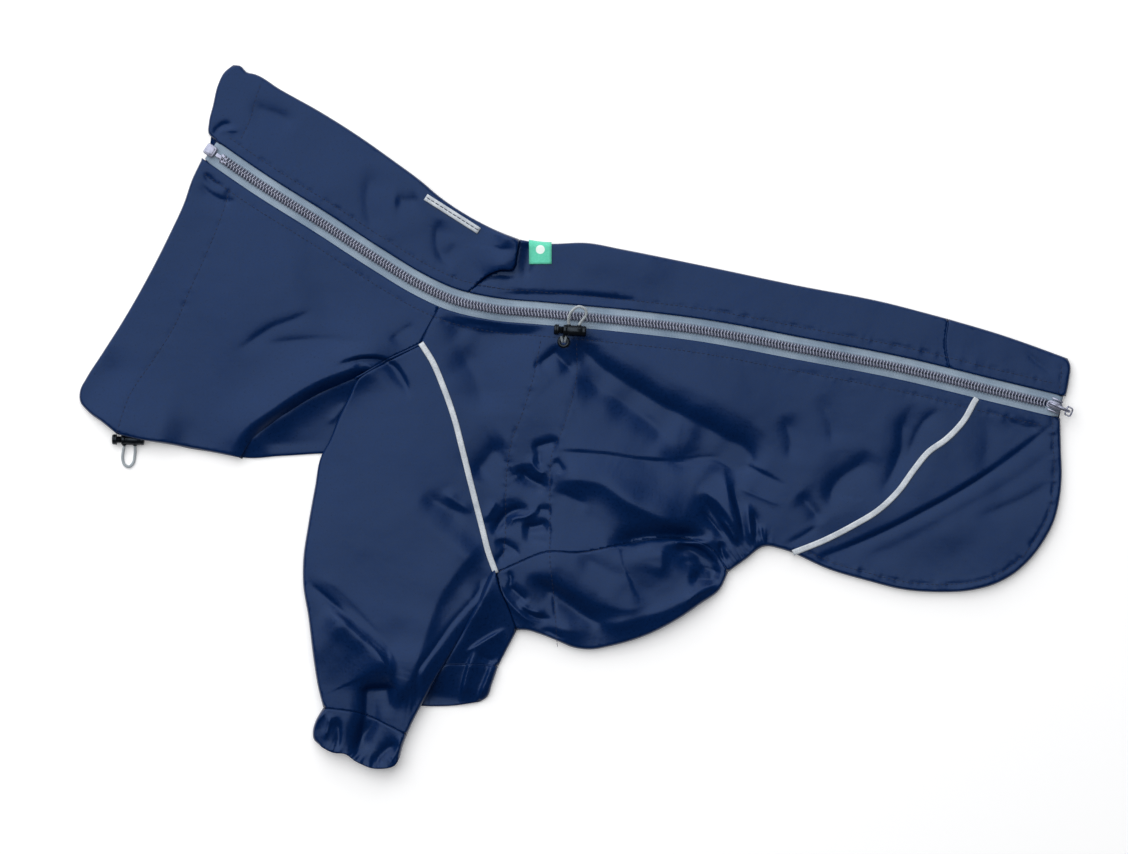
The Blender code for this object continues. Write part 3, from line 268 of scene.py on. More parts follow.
# The lines that the panels are cut and folded along, each as rows of (x, y)
LINES = {
    "zip": (
        (-227.5, 166), (-195.5, 144), (-158, 120.5), (-121, 96.5), (-96, 81.5), (-77.5, 73), (-52.5, 67),
        (-21.5, 64), (28, 59.5), (77.5, 53.5), (139.5, 42), (201.5, 30), (263.5, 15), (301, 6),
    ),
    "opening_near": (
        (-231, 160.5), (-237.5, 147), (-242.5, 132.5), (-251, 114), (-266, 84.5), (-280, 60), (-294, 38),
        (-303, 24), (-307, 16), (-307, 9.5), (-302, 3), (-292.5, -4), (-283.5, -11),
    ),
    "throat": ((-283.5, -11), (-273, -13.5), (-245, -18.5), (-223, -22.5), (-207.5, -25.5)),
    "crest": (
        (-207.5, -25.5), (-201, -15), (-183, -1), (-158, 14.5), (-135, 24.5), (-118, 34.5), (-95.5, 45.5),
    ),
    "shoulder": ((-95.5, 45.5), (-91, 55), (-84, 68), (-80, 76)),
    "armhole": (
        (-95.5, 45.5), (-88.5, 34.5), (-82, 19.5), (-74.5, -2), (-69.5, -21.5), (-64, -43.5), (-57.5, -69),
        (-53.5, -84.5), (-49, -97),
    ),
    "belly_seam": (
        (-49, -97), (-37, -91.5), (-16, -83.5), (0, -84.5), (28, -79.5), (52.5, -75.5), (74.5, -77),
        (87, -84), (95, -96.5),
    ),
    "hip_seam": (
        (255, 19), (249, 11.5), (240.5, -3), (230, -14), (219, -22), (210, -33), (201, -45.5), (188, -58),
        (172.5, -67.5), (155, -76.5), (135, -84.5),
    ),
    "leg_edge": ((95, -96.5), (105.5, -89), (118.5, -80.5), (127, -82), (135, -84.5)),
    "belly_fold": (
        (95, -96.5), (90, -107), (77.5, -116.5), (65, -125), (43.5, -136), (21.5, -142.5), (9.5, -144.5),
        (0, -143.5), (-12.5, -138.5), (-21.5, -135), (-31, -132.5), (-36, -132.5),
    ),
    "underarm": ((-36, -132.5), (-41.5, -118), (-46.5, -106.5), (-49, -97)),
    "hip_hem": (
        (301, -1), (301.5, -21), (302, -36.5), (300.5, -52), (297, -65.5), (291, -77), (281, -90),
        (271, -98.5), (260.5, -104), (245, -108), (226.5, -109), (204.5, -107.5), (180, -101.5),
        (158, -95), (135, -84.5),
    ),
    "opening_far": (
        (-223, 171.5), (-227, 175), (-227, 182.5), (-224.5, 193), (-221.5, 205.5), (-217.5, 213.5),
        (-212, 218),
    ),
    "opening_under": (
        (-212, 218), (-220.5, 202.5), (-225, 180.5), (-227.5, 164), (-236, 145.5), (-250.5, 112.5),
        (-265.5, 83.5), (-279.5, 58.5), (-293.5, 37), (-302.5, 22.5), (-306, 15), (-305, 9.5),
        (-300, 3), (-292, -2),
    ),
    "throat_under": (
        (-292, -2), (-279, -5.5), (-267, -7.5), (-258, -14), (-245, -18.5), (-223, -22.5), (-207.5, -25.5),
    ),
    "back_neck": (
        (-212, 218), (-207.5, 217.5), (-203.5, 213.5), (-199, 212.5), (-183, 203), (-158, 189),
        (-133.5, 173.5), (-113, 159), (-96, 146.5), (-83.5, 136), (-59, 120.5), (-46.5, 114.5),
        (-34.4, 109.8),
    ),
    "tuck": ((-34.4, 109.8), (-36, 100), (-38.5, 91), (-46.5, 90.5), (-54, 87.5), (-64.5, 78), (-72, 70)),
    "far_shoulder": ((-95.5, 45.5), (-77.5, 66), (-52.5, 91), (-34.4, 109.8)),
    "back_body": (
        (-34.4, 109.8), (-21.5, 107.5), (9.5, 107.5), (28, 104), (77.5, 94), (139.5, 81), (189, 71.5),
        (231.5, 60.5),
    ),
    "back_hip": ((231.5, 60.5), (263.5, 51), (297.5, 39), (305.5, 36)),
    "hip_strip_seam": ((231.5, 60.5), (229.5, 44.5), (232.5, 29), (236, 19)),
    "hip_under_seam": ((231.5, 60.5), (243, 39), (255, 19)),
    "tail_far": ((305.5, 36), (307, 33), (306.5, 22.5), (304.5, 12.5)),
    "tail_under": (
        (305.5, 36), (305, 22.5), (302.5, 10), (300.5, -2), (301, -21), (301.5, -36.5), (300, -52),
        (296.5, -65.5), (290, -77), (280, -89.5), (270.5, -98), (260, -103), (245, -107.5),
        (226.5, -108.5), (204.5, -106.5), (180, -101), (158, -94.5), (135, -84.5),
    ),
    "sleeve_front": (
        (-95.4, 44.7), (-117.6, 33.7), (-134.4, 23.8), (-140.5, 11.5), (-147, -2), (-152, -14.5),
        (-157.5, -25), (-161, -42.5), (-165.5, -67.5), (-168.5, -89), (-168.5, -104.5), (-165.5, -123),
        (-162, -151), (-159.5, -166.5), (-156, -180.5),
    ),
    "sleeve_rear": (
        (-49, -97), (-56.5, -112.5), (-65, -127.5), (-74.5, -143.5), (-83.5, -158.5), (-91, -171.5),
        (-95.5, -179.5), (-100.5, -189), (-104, -197),
    ),
    "cuff_seam": (
        (-156, -180.5), (-145.5, -181.5), (-136, -183), (-126, -186.5), (-114.5, -192), (-104, -197),
    ),
    "cuff_front": ((-156, -180.5), (-160.5, -188), (-162.5, -195), (-162, -200), (-158.5, -203.5)),
    "cuff_end": (
        (-158.5, -203.5), (-150, -208), (-142, -209), (-137, -212.5), (-126, -217.5), (-119.5, -218),
        (-111.5, -216), (-108.5, -211),
    ),
    "cuff_rear": ((-104, -197), (-106.5, -203.5), (-108.5, -211)),
    "far_rear": ((-36, -132.5), (-41.5, -143), (-47.5, -154.5)),
    "far_front": ((-95.5, 45.5), (-114.5, -2), (-119.5, -52), (-116, -114), (-111, -156)),
    "far_cuff_seam": ((-111, -156), (-77.5, -153.5), (-47.5, -154.5)),
    "far_cuff_front": ((-111, -156), (-113, -168), (-111.5, -178)),
    "far_cuff_rear": ((-47.5, -154.5), (-51.5, -166), (-54.5, -174), (-59, -177)),
    "far_cuff_end": ((-111.5, -178), (-95.5, -179.5), (-77.5, -179.5), (-59, -177)),
    "chest_fold": ((-209.5, -24.7), (-206, -25.4), (-183, -24.5), (-158, -23), (-122, -22)),
    "chest_tuck": ((-209.5, -24.7), (-205, -12), (-188, 4.5), (-163, 20), (-139.5, 31.5), (-114.5, 35.2)),
    "chest_side": ((-114.5, 35.2), (-117, 24), (-119, 8), (-122, -22)),
    "chest_crest": (
        (-206.5, -25.8), (-200.3, -15.6), (-182.5, -1.8), (-157.6, 13.6), (-134.6, 23.6), (-114.5, 35.2),
    ),
}

# Folds: a line of points, then how far each reaches to the line's left and to its right, and how much
# it lifts the cloth, or lowers it where that is negative
FOLDS = (
    # broad billows
    (-232, 72, -195, 72, -152, 78, 50, 50, 2.5),
    (-65, 23, 28, 10, 140, -8, 42, 42, 3.5),
    (-34, -52, 16, -64, 65, -89, 34, 34, 3),
    (189, -33, 226, -39, 264, -33, 34, 34, 0.8),
    (-98, 80, -116, -50, -122, -150, -140, -440, 46, 40, 5),
    (-170, 153, -133, 134, -96, 109, 20, 20, 1),
    (-60, -92, 10, -96, 95, -92, 26, 46, 4.2),
    # tensions
    (-40, -125, 0, -142, 50, -127, 90, -100, 16, 16, -0.8),
    (140, -70, 200, -88, 260, -96, 18, 18, -1.2),
    (-150, -20, -157, -70, -156, -130, -152, -185, -150, -260, 16, 22, 2.6),
    # neck
    (-224, -27, -198, -8.5, -164, 16, -128, 38, -104, 54, 18, 12.5, 5.8),
    (-306, 8, -279, -9, -240, -22, 26, 14, 4),
    (-212, 38, -200, 47, -188, 55, -172, 61, -158, 68, 2.2, 7, -0.9),
    (-197, 43.5, -180, 46, -160, 47.5, -140, 47, -122, 45.5, 3, 9, -0.95),
    (-116, 46, -108, 52, -98, 58, 2, 5, -0.6),
    (-152, 29.5, -140, 34, -128, 35.8, -119, 34.8, -112, 31, -107.5, 25, -104, 18, -102, 9, 1.1, 4.0, -3.5),
    (-283, 44, -286, 24, -284, 8, -280, -10, 14, 9, -1.0),
    (-231, 152, -224, 145, -217, 142.5, 1.4, 2.5, -1),
    (-233, 146, -226, 138, -218, 134, -207, 133.5, 1.8, 4, -1.3),
    (-217, 142, -215.5, 137, -216, 131, 1.2, 1.2, -0.8),
    (-225, 172, -222, 177.5, -217, 181, -211, 181, 1.5, 3, -1.3),
    (-223, 175, -216, 177.5, -206, 177.5, 1.6, 1.3, 0.8),
    (-206, 192, -192, 189, -180, 184.5, -171, 178, 6, 9, -1.3),
    (-125, 158, -127, 145, -128, 132, -125, 118, -121, 107, 9, 6, -1.7),
    (-113, 134, -104, 133, -95, 135, 6, 6, -1.4),
    (-82, 124, -85, 115, -85, 106, -81, 97, -77, 91, 7, 4, -1.7),
    (-75, 110, -77.5, 98, -79, 88, 2, 2, -0.5),
    # strip above the zip
    (-52, 76, -22, 75.5, 0, 75, 18, 73.5, 42, 71, 1.6, 3, -1.3),
    (-9, 96, 16, 98, 65, 88, 14, 14, 1),
    (277, 42, 287, 33, 299, 25, 1.6, 1.0, -0.3),
    # body, from the cord lock and across
    (-86, 60, -68, 53.5, -50, 50.5, -32, 51, -13, 54, 5.5, 12, -3.4),
    (-76, 60, -60, 57, -38, 54.5, 1.3, 2, -0.7),
    (-26, 29.5, -18, 35.5, -12, 40.5, -7.5, 45, 2.3, 6, -2.8),
    (-11, 41, -8.5, 35, -4, 30.5, 1, 27.5, 2.6, 3, -1.4),
    (-5, 49, 4, 41.5, 12, 33.5, 22, 26, 35, 18, 50, 8.5, 65, 1, 80, -6.5, 95, -15.5, 106, -24, 118, -33.5,
     7, 17, -5.5),
    (0, 27, 15, 17, 30, 8, 44, -2, 56, -12, 66, -22, 6, 10, -2.4),
    (-15, -21.5, 0, -22, 20, -23.5, 40, -26.5, 60, -27.5, 72, -27, 79, -25.5, 92, -26, 104, -29.5, 118, -36,
     133, -44, 0.9, 9, -1.2),
    (50, -21, 62, -25.5, 88, -25, 112, -32, 10, 4, -3.6),
    (-74, 46, -63, 31, -57, 16, -57, 0, 14, 10, -2.7),
    (-64, -40, -55, -28, -49, -21, -41, -17, 7, 9, -2.7),
    # waist puckers
    (-28, -20.5, -22, -18, -15, -16, -9, -15, 1.9, 4, -2.3),
    (-21, -20, -22.5, -25, -20.5, -31, 1.6, 1.8, -1.2),
    (-27, -23, -26, -30, -20.5, -35, -15.5, -33, 1.6, 2.4, 1.6),
    (-34, -29, -31.5, -36, -25, -40.5, -14, -44.5, 3.2, 5, -3.5),
    (-14, -26.5, -9.5, -30.5, -6.5, -36, 2.2, 3, -1.6),
    (-18, -40, 4, -38.5, 18, -41.5, 30, -50, 45, -58.5, 60, -65, 84, -72, 18, 8.5, 5.2),
    (-15, -45, -2, -50, 10, -56, 3, 6, -1.2),
    (18, -79.5, 32, -77.5, 44, -75, 56, -74.2, 70, -75, 87, -76, 7, 4, -7.0),
    (-52, -75, -46.5, -66, -42, -60.5, -35, -57.5, -26.5, -57, 3.2, 4, -3.7),
    (-41, -69, -38.5, -63.5, -30, -62, -23, -57, 1.5, 1.8, 1.6),
    (-34, -68.5, -27, -68.5, -20, -67, -14.5, -65, 3, 4.5, -3.1),
    (-24, -56.5, -19, -58, -14, -57, 2.4, 3, -1.8),
    (-51, -77.5, -43, -79, -38, -82, -33, -86.5, 2.2, 3, -2.3),
    (-50, -91, -45.5, -86.5, -41, -79.5, 2.2, 3.5, -2.1),
    (-34, -73, -25, -76.5, -14, -77.5, 3, 4, -0.9),
    (-56, -66, -53, -59, -48, -52, 2, 3, 1.1),
    # belly
    (-34, -94, -15, -100.5, 0, -108, 15, -115.5, 28, -118.5, 40, -117.5, 50, -110, 16, 6, 2.6),
    (-31, -98.5, -15, -108, -4, -116, 6, -124, 16, -130, 30, -132, 6.5, 9, -4.5),
    (-22, -133, 0, -131, 20, -129.5, 45, -123.5, 70, -113.5, 88, -103, 6, 9, 3.0),
    (58, -79.5, 68, -80, 78, -83, 86, -90, 92, -97, 1.5, 3, -2.2),
    (76, -93.5, 83, -94.5, 91, -97.5, 1.2, 2.4, -1.9),
    (54, -76.3, 64, -77.8, 76, -78, 88, -78.5, 2, 2, 2.3),
    (54, -80, 64, -83, 72, -84, 80, -88.5, 87, -95, 92, -99, 3, 5, -4),
    (63, -89, 74, -89.5, 83, -90.5, 2.6, 4, -1.8),
    (70, -98.5, 78, -100, 91, -100.5, 5, 4, -3.3),
    (68, -122, 70, -114, 78, -108, 92, -103.5, 4, 2.2, 2.6),
    (53, -79, 54, -90, 51, -100, 3, 8, 1.1),
    (0, -86, 15, -93, 32, -102, 6, 8, -1.1),
    (-49, -98, -45.5, -108, -38.5, -117.5, -30, -125, -18, -128.5, 1.8, 2.2, 1.9),
    (-43, -103.5, -36, -109, -29, -115.5, 2, 3, -2.1),
    (-36, -113.5, -28, -120, -17, -121.5, 1.8, 2, 1.6),
    (-34, -119, -25, -124.5, -13, -125.5, 1.8, 2, -1.4),
    (-41.5, -95, -39.5, -100, -41, -106, 1.2, 1.6, -1.2),
    (-22, -131.5, -12, -135, -6, -139, 1.8, 2, -1.2),
    # elastic leg edge
    (76, -43, 88, -52.5, 96, -63.5, 102, -79, 6, 3, 2.8),
    (75, -47.5, 84, -58.5, 92, -70, 99, -82, 3, 3.5, -2.6),
    (77, -56, 86, -67, 94, -77.5, 1.4, 3, -1.8),
    (89, -61, 96, -70.5, 101.5, -81, 1.5, 1.5, 1.9),
    (90.5, -26, 93.5, -42, 97.5, -57, 101.5, -70, 104.5, -81, 2.6, 7, 3),
    (96.5, -40, 101, -56, 104, -70, 106.5, -82, 2.6, 3, -1.8),
    (106.5, -52, 108, -66, 110, -81, 2.4, 3, 2.6),
    (110.5, -56, 112.5, -69, 113, -81, 2, 2.4, -1.6),
    (114.5, -66, 115.5, -74, 116, -81, 1.6, 2.4, 1.2),
    (91, -76, 91, -84, 95, -92, 2, 2.4, -2.3),
    # rear of the body
    (128, 2, 134, -14, 132, -30, 7, 5, -1.1),
    (150, 14, 159, -5, 160, -22, 8, 5, -0.8),
    (184, -19, 176, -31, 165.5, -38, 159, -48, 161, -62, 9, 6, -2.4),
    (212, 10, 204, -6, 202.5, -21, 197, -36, 188, -51, 8, 5, -2.4),
    (228, 6, 216, -4, 209, -19, 206, -33, 5, 3, -1.4),
    (138, -47, 146, -56, 154, -67, 4.5, 6, -1.8),
    (129, -80, 140, -74.5, 153, -66, 1.3, 3, -0.7),
    (98, -42.5, 114, -49.5, 131, -56, 2, 1.6, 0.5),
    # hip flap
    (298, -3, 282, -16, 270, -25, 258, -33.5, 245, -42, 230, -51, 215, -59, 200, -67, 185, -74, 170, -80.5,
     155, -86, 143, -89, 7, 1.3, -1.0),
    (268, -27, 245, -42, 215, -59, 185, -74, 162, -83.5, 3, 0.9, -0.8),
    (299, -19, 281, -34, 262, -46, 240, -58, 215, -72, 195, -82, 170, -92, 11, 6, -0.75),
    (300, -37, 282, -49, 262, -58, 240, -66, 8, 4, -0.7),
    (254, 6, 256.5, -10, 255, -24, 250, -38, 8, 6, -0.5),
    (262, 0, 276, -6, 294, -7.5, 3, 6, -1),
    # near sleeve
    (-81, -44, -77, -50.5, -70.5, -55, -62, -59, 4, 3, 1.4),
    (-96, -48, -84, -54, -64, -62.5, 5, 6, -1.3),
    (-56, -74, -66, -86, -75, -97, -84, -110, -90, -125, -95, -140, -100, -155, -106, -168, -112, -182, 8,
     26, 3.6),
    (-52, -98.5, -57.5, -102, -58.5, -107, -61.5, -112, -67.5, -118.5, -75, -127, -83, -138, -91, -149, -96,
     -156, -96.5, -180, 1.8, 3, -1.8),
    (-52, -100, -59, -110, -66, -118.5, -74, -127, -82, -138, -90, -149, -96, -160, -100, -176, 8, 8, 3.6),
    (-166, -96, -148, -105, -133, -119, -121, -133, -114, -142, 8, 3, 0.6),
    (-168, -100, -155, -111, -141, -124.5, -131, -135, -122, -144, -116, -151, 1.9, 3, -1.4),
    (-156, -117, -139, -130, -126, -142, -117, -154, -113, -168, 3, 13, 6.4),
    (-114.5, -140, -113.5, -152, -114.5, -162, -112.5, -172, -110, -182, 9, 2, 1.4),
    (-108, -169.5, -114, -168.6, -124, -169.2, -135, -171.5, 6, 3, -4.4),
    (-128, -164, -128.5, -176, -128.5, -187, -131.5, -197, -134, -206, -135, -216, 8, 4, -7.4),
    # near cuff
    (-162, -194, -158.5, -187, -153.5, -182, 1.3, 1.3, 1.1),
    (-156, -201, -152.5, -192, -151, -183, 1.3, 1.3, 1.1),
    (-147.5, -185, -146, -196, -147, -208, 1.5, 4.5, -2.5),
    (-126, -219, -120.5, -210, -114.5, -205, -107, -202, 4.5, 3, -3.6),
    (-116, -217, -110.5, -207, -107, -196, 1.2, 1.4, 1.3),
)
TUCK_LIFT = ((-52, 122, -37, 104, -58, 86, 11, 11, 4.48),)
TUCK_SHADOW = (
    (-25.5, 114, -28, 100, -30.5, 90, -36, 82, 4, 8, -3.4),
    (-66, 80, -56, 86, -46, 88.5, -38, 87.5, -32, 90, 5, 4, -2.8),
)
CHEST_FOLDS = (
    (-210, -28, -201, -14.5, -183, -0.5, -158, 15, -135, 25, -118, 35, 12, 9, 4.2),
    (-194, -17, -174, -17.5, -152, -15, 5, 3, -0.8),
    (-154, -5, -147, 2, -142, 9, 1.5, 1.5, 0.8),
)
FAR_SLEEVE_FOLDS = (
    (-160, -95, 20, -95, 40, 32, 8.0),
    (-160, -132, 20, -132, 30, 40, 2.2),
    (-48, -95, -56, -111, -64, -126, -73, -142, -82, -156, -92, -173, 9, 4, 4.6),
    (-42, -131, -53, -137, -61, -142, -69, -147, 8, 0.8, 2.3),
    (-61, -143, -66, -155, -69, -166, -70.5, -178, 8, 0.8, 3.4),
    (-50, -149, -55, -163, -61, -177, 7, 0.8, 3.0),
    (-61, -147, -54, -150.5, -48, -153.5, 2, 2, -1.2),
    (-94, -176, -84, -176.5, -68, -177, 5, 4, -2.1),
)

# Stitched lines, each with the depth that its thread draws the cloth in by
STITCHED = {
    "zip_near": (0.2, None),
    "zip_far": (0.25, None),
    "casing_front": (0.3, (
        (-21.5, 46), (-24, 32), (-28, 16.5), (-33, 1), (-39, -14.5), (-41.5, -27), (-43, -52), (-43, -70.5),
        (-44.5, -86.5),
    )),
    "casing_rear": (0.28, (
        (1, 44.5), (1, 25.5), (-3, 7), (-8, -8.5), (-14.5, -24), (-15.5, -45.5), (-15.5, -70.5), (-15.5, -89),
        (-13.5, -107.5), (-11, -141.5),
    )),
    "neck_hem_near": (0.2, (
        (-214.5, 139), (-218.9, 124.9), (-227.5, 103.2), (-238.7, 78.4), (-248, 56.7), (-262.3, 33.8),
        (-275.9, 13.3), (-283.3, -8.4),
    )),
    "neck_hem_far": (0.2, ((-195.3, 204.3), (-197.2, 199.3), (-201.5, 183.8), (-206.5, 173.3))),
    "hip_hem": (0.4, (
        (296, -1), (296.5, -21), (297, -36), (295.5, -50.5), (292.3, -63.3), (286.6, -74), (277.2, -86.5),
        (268, -94.2), (258.4, -99.3), (244, -103), (226.5, -104), (205.3, -102.6), (181.5, -96.8),
        (160, -90.6), (146, -84.5),
    )),
    "tail_hem": (0.35, ((301.4, 30.5), (301.2, 22.5), (299.7, 15.4))),
}


def beside(line, distance):
    """The line moved to its left by distance, one number or one for each point."""
    tangent = np.gradient(line, axis=0)
    tangent /= np.linalg.norm(tangent, axis=1)[:, None]
    return line + np.stack([-tangent[:, 1], tangent[:, 0]], 1) * np.reshape(distance, (-1, 1))


def close_to(points, line, reach):
    """Which points lie within reach of the line, and of each its distance, how far along the line it
    is from 0 to 1, and 1 or -1 for the line's left or right."""
    which = np.flatnonzero(((points > line.min(0) - reach) & (points < line.max(0) + reach)).all(1))
    start, run = line[:-1], np.diff(line, axis=0)
    found = np.empty((3, len(which)))
    for at in range(0, len(which), 1500):
        away = points[which[at : at + 1500], None] - start
        part = np.clip((away * run).sum(2) / (run**2).sum(1), 0, 1)
        gap = np.linalg.norm(away - part[..., None] * run, axis=2)
        best, rows = gap.argmin(1), np.arange(len(gap))
        turn = run[best, 0] * away[rows, best, 1] - run[best, 1] * away[rows, best, 0]
        found[:, at : at + 1500] = gap[rows, best], (best + part[rows, best]) / len(run), np.sign(turn)
    kept = found[0] < reach
    return which[kept], *found[:, kept]


def eased(value):
    value = np.clip(value, 0, 1)
    return value * value * (3 - 2 * value)


def folded(points, folds):
    """What the folds add to the height at each point. Broad ones are round, the others have a crisp
    crest, and each comes up from its ends and varies along its length."""
    total = np.zeros(len(points))
    for *path, left, right, rise in folds:
        line = smooth(np.reshape(path, (-1, 2)), 3)
        which, gap, along, side = close_to(points, line, 3.4 * max(left, right))
        length = np.linalg.norm(np.diff(line, axis=0), axis=1).sum()
        share = gap / np.where(side > 0, left, right)
        if min(left, right) > 12:
            depth, crest = eased(np.minimum(along, 1 - along) / 0.3), np.exp(-(share**2))
        else:
            depth = eased(np.minimum(along, 1 - along) * length / min(0.33 * length, 20))
            depth *= 1 + 0.3 * uneven(np.column_stack([along * length, 0 * along]), 16, 7.7 * path[0])
            crest = np.exp(0.5 - 1.25 * np.sqrt(share**2 + 0.16)) * eased((3.4 - share) / 1.5)
        total[which] += rise * depth * crest
    return total


def uneven(points, size, seed):
    """Smooth noise from about -0.7 to 0.7, whose lumps are about this size."""
    return np.array([noise.noise(Vector((x / size, y / size, seed))) for x, y in points])


def line_of(name, step=2.0):
    return smooth(LINES[name], step)


def drawn_in(points):
    """How far the stitched lines draw the cloth in: a narrow valley, deeper here and there, whose sides
    pucker."""
    total = np.zeros(len(points))
    for seed, (name, (depth, rows)) in enumerate(STITCHED.items()):
        line = stitch_line(name)
        which, gap, along, side = close_to(points, line, 7)
        if not len(which):
            continue
        length = np.linalg.norm(np.diff(line, axis=0), axis=1).sum()
        ends = np.stack([along * length, side * 0.4], 1)
        beat = 0.6 + 1.3 * uneven(ends, 7, seed + 0.5)
        pucker = uneven(ends, 3.2, seed + 20.5)
        total[which] -= depth * beat * np.exp(-((gap / 1.0) ** 2))
        total[which] += 1.1 * depth * pucker * np.exp(-((gap / 2.6) ** 2))
    return total


def gathered(points):
    """The short, crisp gathers that the elastic draws the cloth into at the leg edge and the cuffs' ends."""
    total = np.zeros(len(points))
    for name, pitch, reach, rise in (
        ("leg_edge", 2.9, 5.0, 0.75), ("cuff_end", 4.2, 4.0, 0.5), ("far_cuff_end", 4.6, 4.0, 0.4),
    ):
        line = line_of(name)
        which, gap, along, _ = close_to(points, line, 4 * reach)
        run = along * np.linalg.norm(np.diff(line, axis=0), axis=1).sum()
        drift = uneven(np.column_stack([run, 0.35 * gap]), 6, 31.5)
        beat = np.sin(2 * math.pi * (run / pitch + 0.9 * drift))
        ends = eased(np.minimum(along, 1 - along) / 0.1) * eased((126 - points[which, 0]) / 10)
        total[which] += rise * (0.6 + drift) * beat * np.exp(-gap / reach) * ends
    return total


def stitch_line(name):
    rows = STITCHED[name][1]
    if rows:
        return smooth(rows, 2)
    side, away = (-1, 14.0) if name == "zip_near" else (1, 13.2)
    line = beside(line_of("zip"), side * away)
    return line[4:-5]


def at_least(height, least):
    """The height, eased so that it never falls below least."""
    soft = 0.5
    return least + soft * np.logaddexp(0, (height - least) / soft)


def sleeve_floor(points):
    """The near sleeve's underside: on the table, or over the chest and the far sleeve."""
    x, y = points.T
    over_far = eased((x + 156) / 16) * eased((y + 202) / 16)
    over_chest = eased((y + 48) / 18)
    return SLEEVE_REST * (1 - (1 - over_far) * (1 - over_chest))


def near_face(points, extra=()):
    """Height of the near side's outer face."""
    lie = REST + folded(points, FOLDS + tuple(extra)) + drawn_in(points) + gathered(points)
    lie += 0.45 * uneven(points, 34, 3.5) + 0.12 * uneven(points, 11, 5.5)
    return at_least(lie, LEAST)


def sleeve_face(points):
    return at_least(near_face(points), sleeve_floor(points) + LEAST)


def chest_face(points):
    return at_least(1.3 + folded(points, CHEST_FOLDS), 1.3)


def far_sleeve_face(points):
    which, gap, _, side = close_to(points, line_of("sleeve_rear"), 60)
    free = np.zeros(len(points))
    free[which] = eased(gap * side / 6 + 1)
    return at_least(1.4 + (folded(points, FAR_SLEEVE_FOLDS) + gathered(points)) * (0.3 + 0.7 * free), 1.3)


def on_table(points):
    return np.zeros(len(points))


def halved(face, floor=on_table):
    """Height of a fold: midway between the faces that it joins."""
    return lambda points: (face(points) + floor(points)) / 2


def hem_lip(points):
    """Height of a hem's lip: just over the layer below it, the chest panel or the cord lock."""
    lip = np.full(len(points), 2.5)
    for line, reach, rise in (
        (np.array(((-290, -11.5), (-266, -13.5))), 9, 5.6), (line_of("chest_crest"), 12, 3.1),
    ):
        which, gap, _, _ = close_to(points, line, 3 * reach)
        lip[which] += rise * np.exp(-((gap / reach) ** 2))
    return lip


def turned_under(face):
    """Height of a cloth's edge that is folded under beside the zip."""
    return lambda points: face(points) - 0.85


# ---- Neck panels ----
# The long near panel of the neck, and the far one, which comes round the fold of the back and shows
# as a strip above the zip. Coated nylon, hemmed round the neck opening as a casing for the drawcord.

WALL = 0.45  # two coats of the cloth's thickness, so that its edges can be seen
SEAM_GAP = 0.3
HEM_ROLL = 1.8
TURNED_EDGE = 1.3
SEAM, CUT = "seam", "cut"
CRUSHED = ((-32, -60, 34), (-34, -112, 24), (96, -76, 34), (-122, -178, 40), (-68, -150, 34), (-120, 32, 20))


def apart(a, b):
    return np.linalg.norm(a - b)


def cut_at(line, cutter):
    """The line's points up to where it crosses the cutter, and that crossing."""
    start, across = cutter[:-1], np.diff(cutter, axis=0)
    for i, (a, b) in enumerate(zip(line, line[1:])):
        run, gap = b - a, start - a
        turn = run[0] * across[:, 1] - run[1] * across[:, 0]
        along = (gap[:, 0] * across[:, 1] - gap[:, 1] * across[:, 0]) / turn
        side = (gap[:, 0] * run[1] - gap[:, 1] * run[0]) / turn
        hit = (along >= 0) & (along <= 1) & (side >= 0) & (side <= 1)
        if hit.any():
            point = a + along[hit.argmax()] * run
            kept = line[: i + 1]
            return np.vstack([kept[:-1] if i and apart(kept[-1], point) < 0.6 else kept, point])
    return line


def zip_edge(side, first=None, last=None):
    """The cloth's edge beside the zip, between the two seams that end at it."""
    line = beside(line_of("zip"), side * ZIP_GAP)
    if last:
        line = cut_at(line, line_of(last))
    return cut_at(line[::-1], line_of(first))[::-1] if first else line


def to_zip(name, side):
    """The seam's line up to the cloth's edge beside the zip."""
    line, edge = line_of(name), beside(line_of("zip"), side * ZIP_GAP)
    if np.linalg.norm(edge - line[0], axis=1).min() < np.linalg.norm(edge - line[-1], axis=1).min():
        line = line[::-1]
    return cut_at(line, edge)


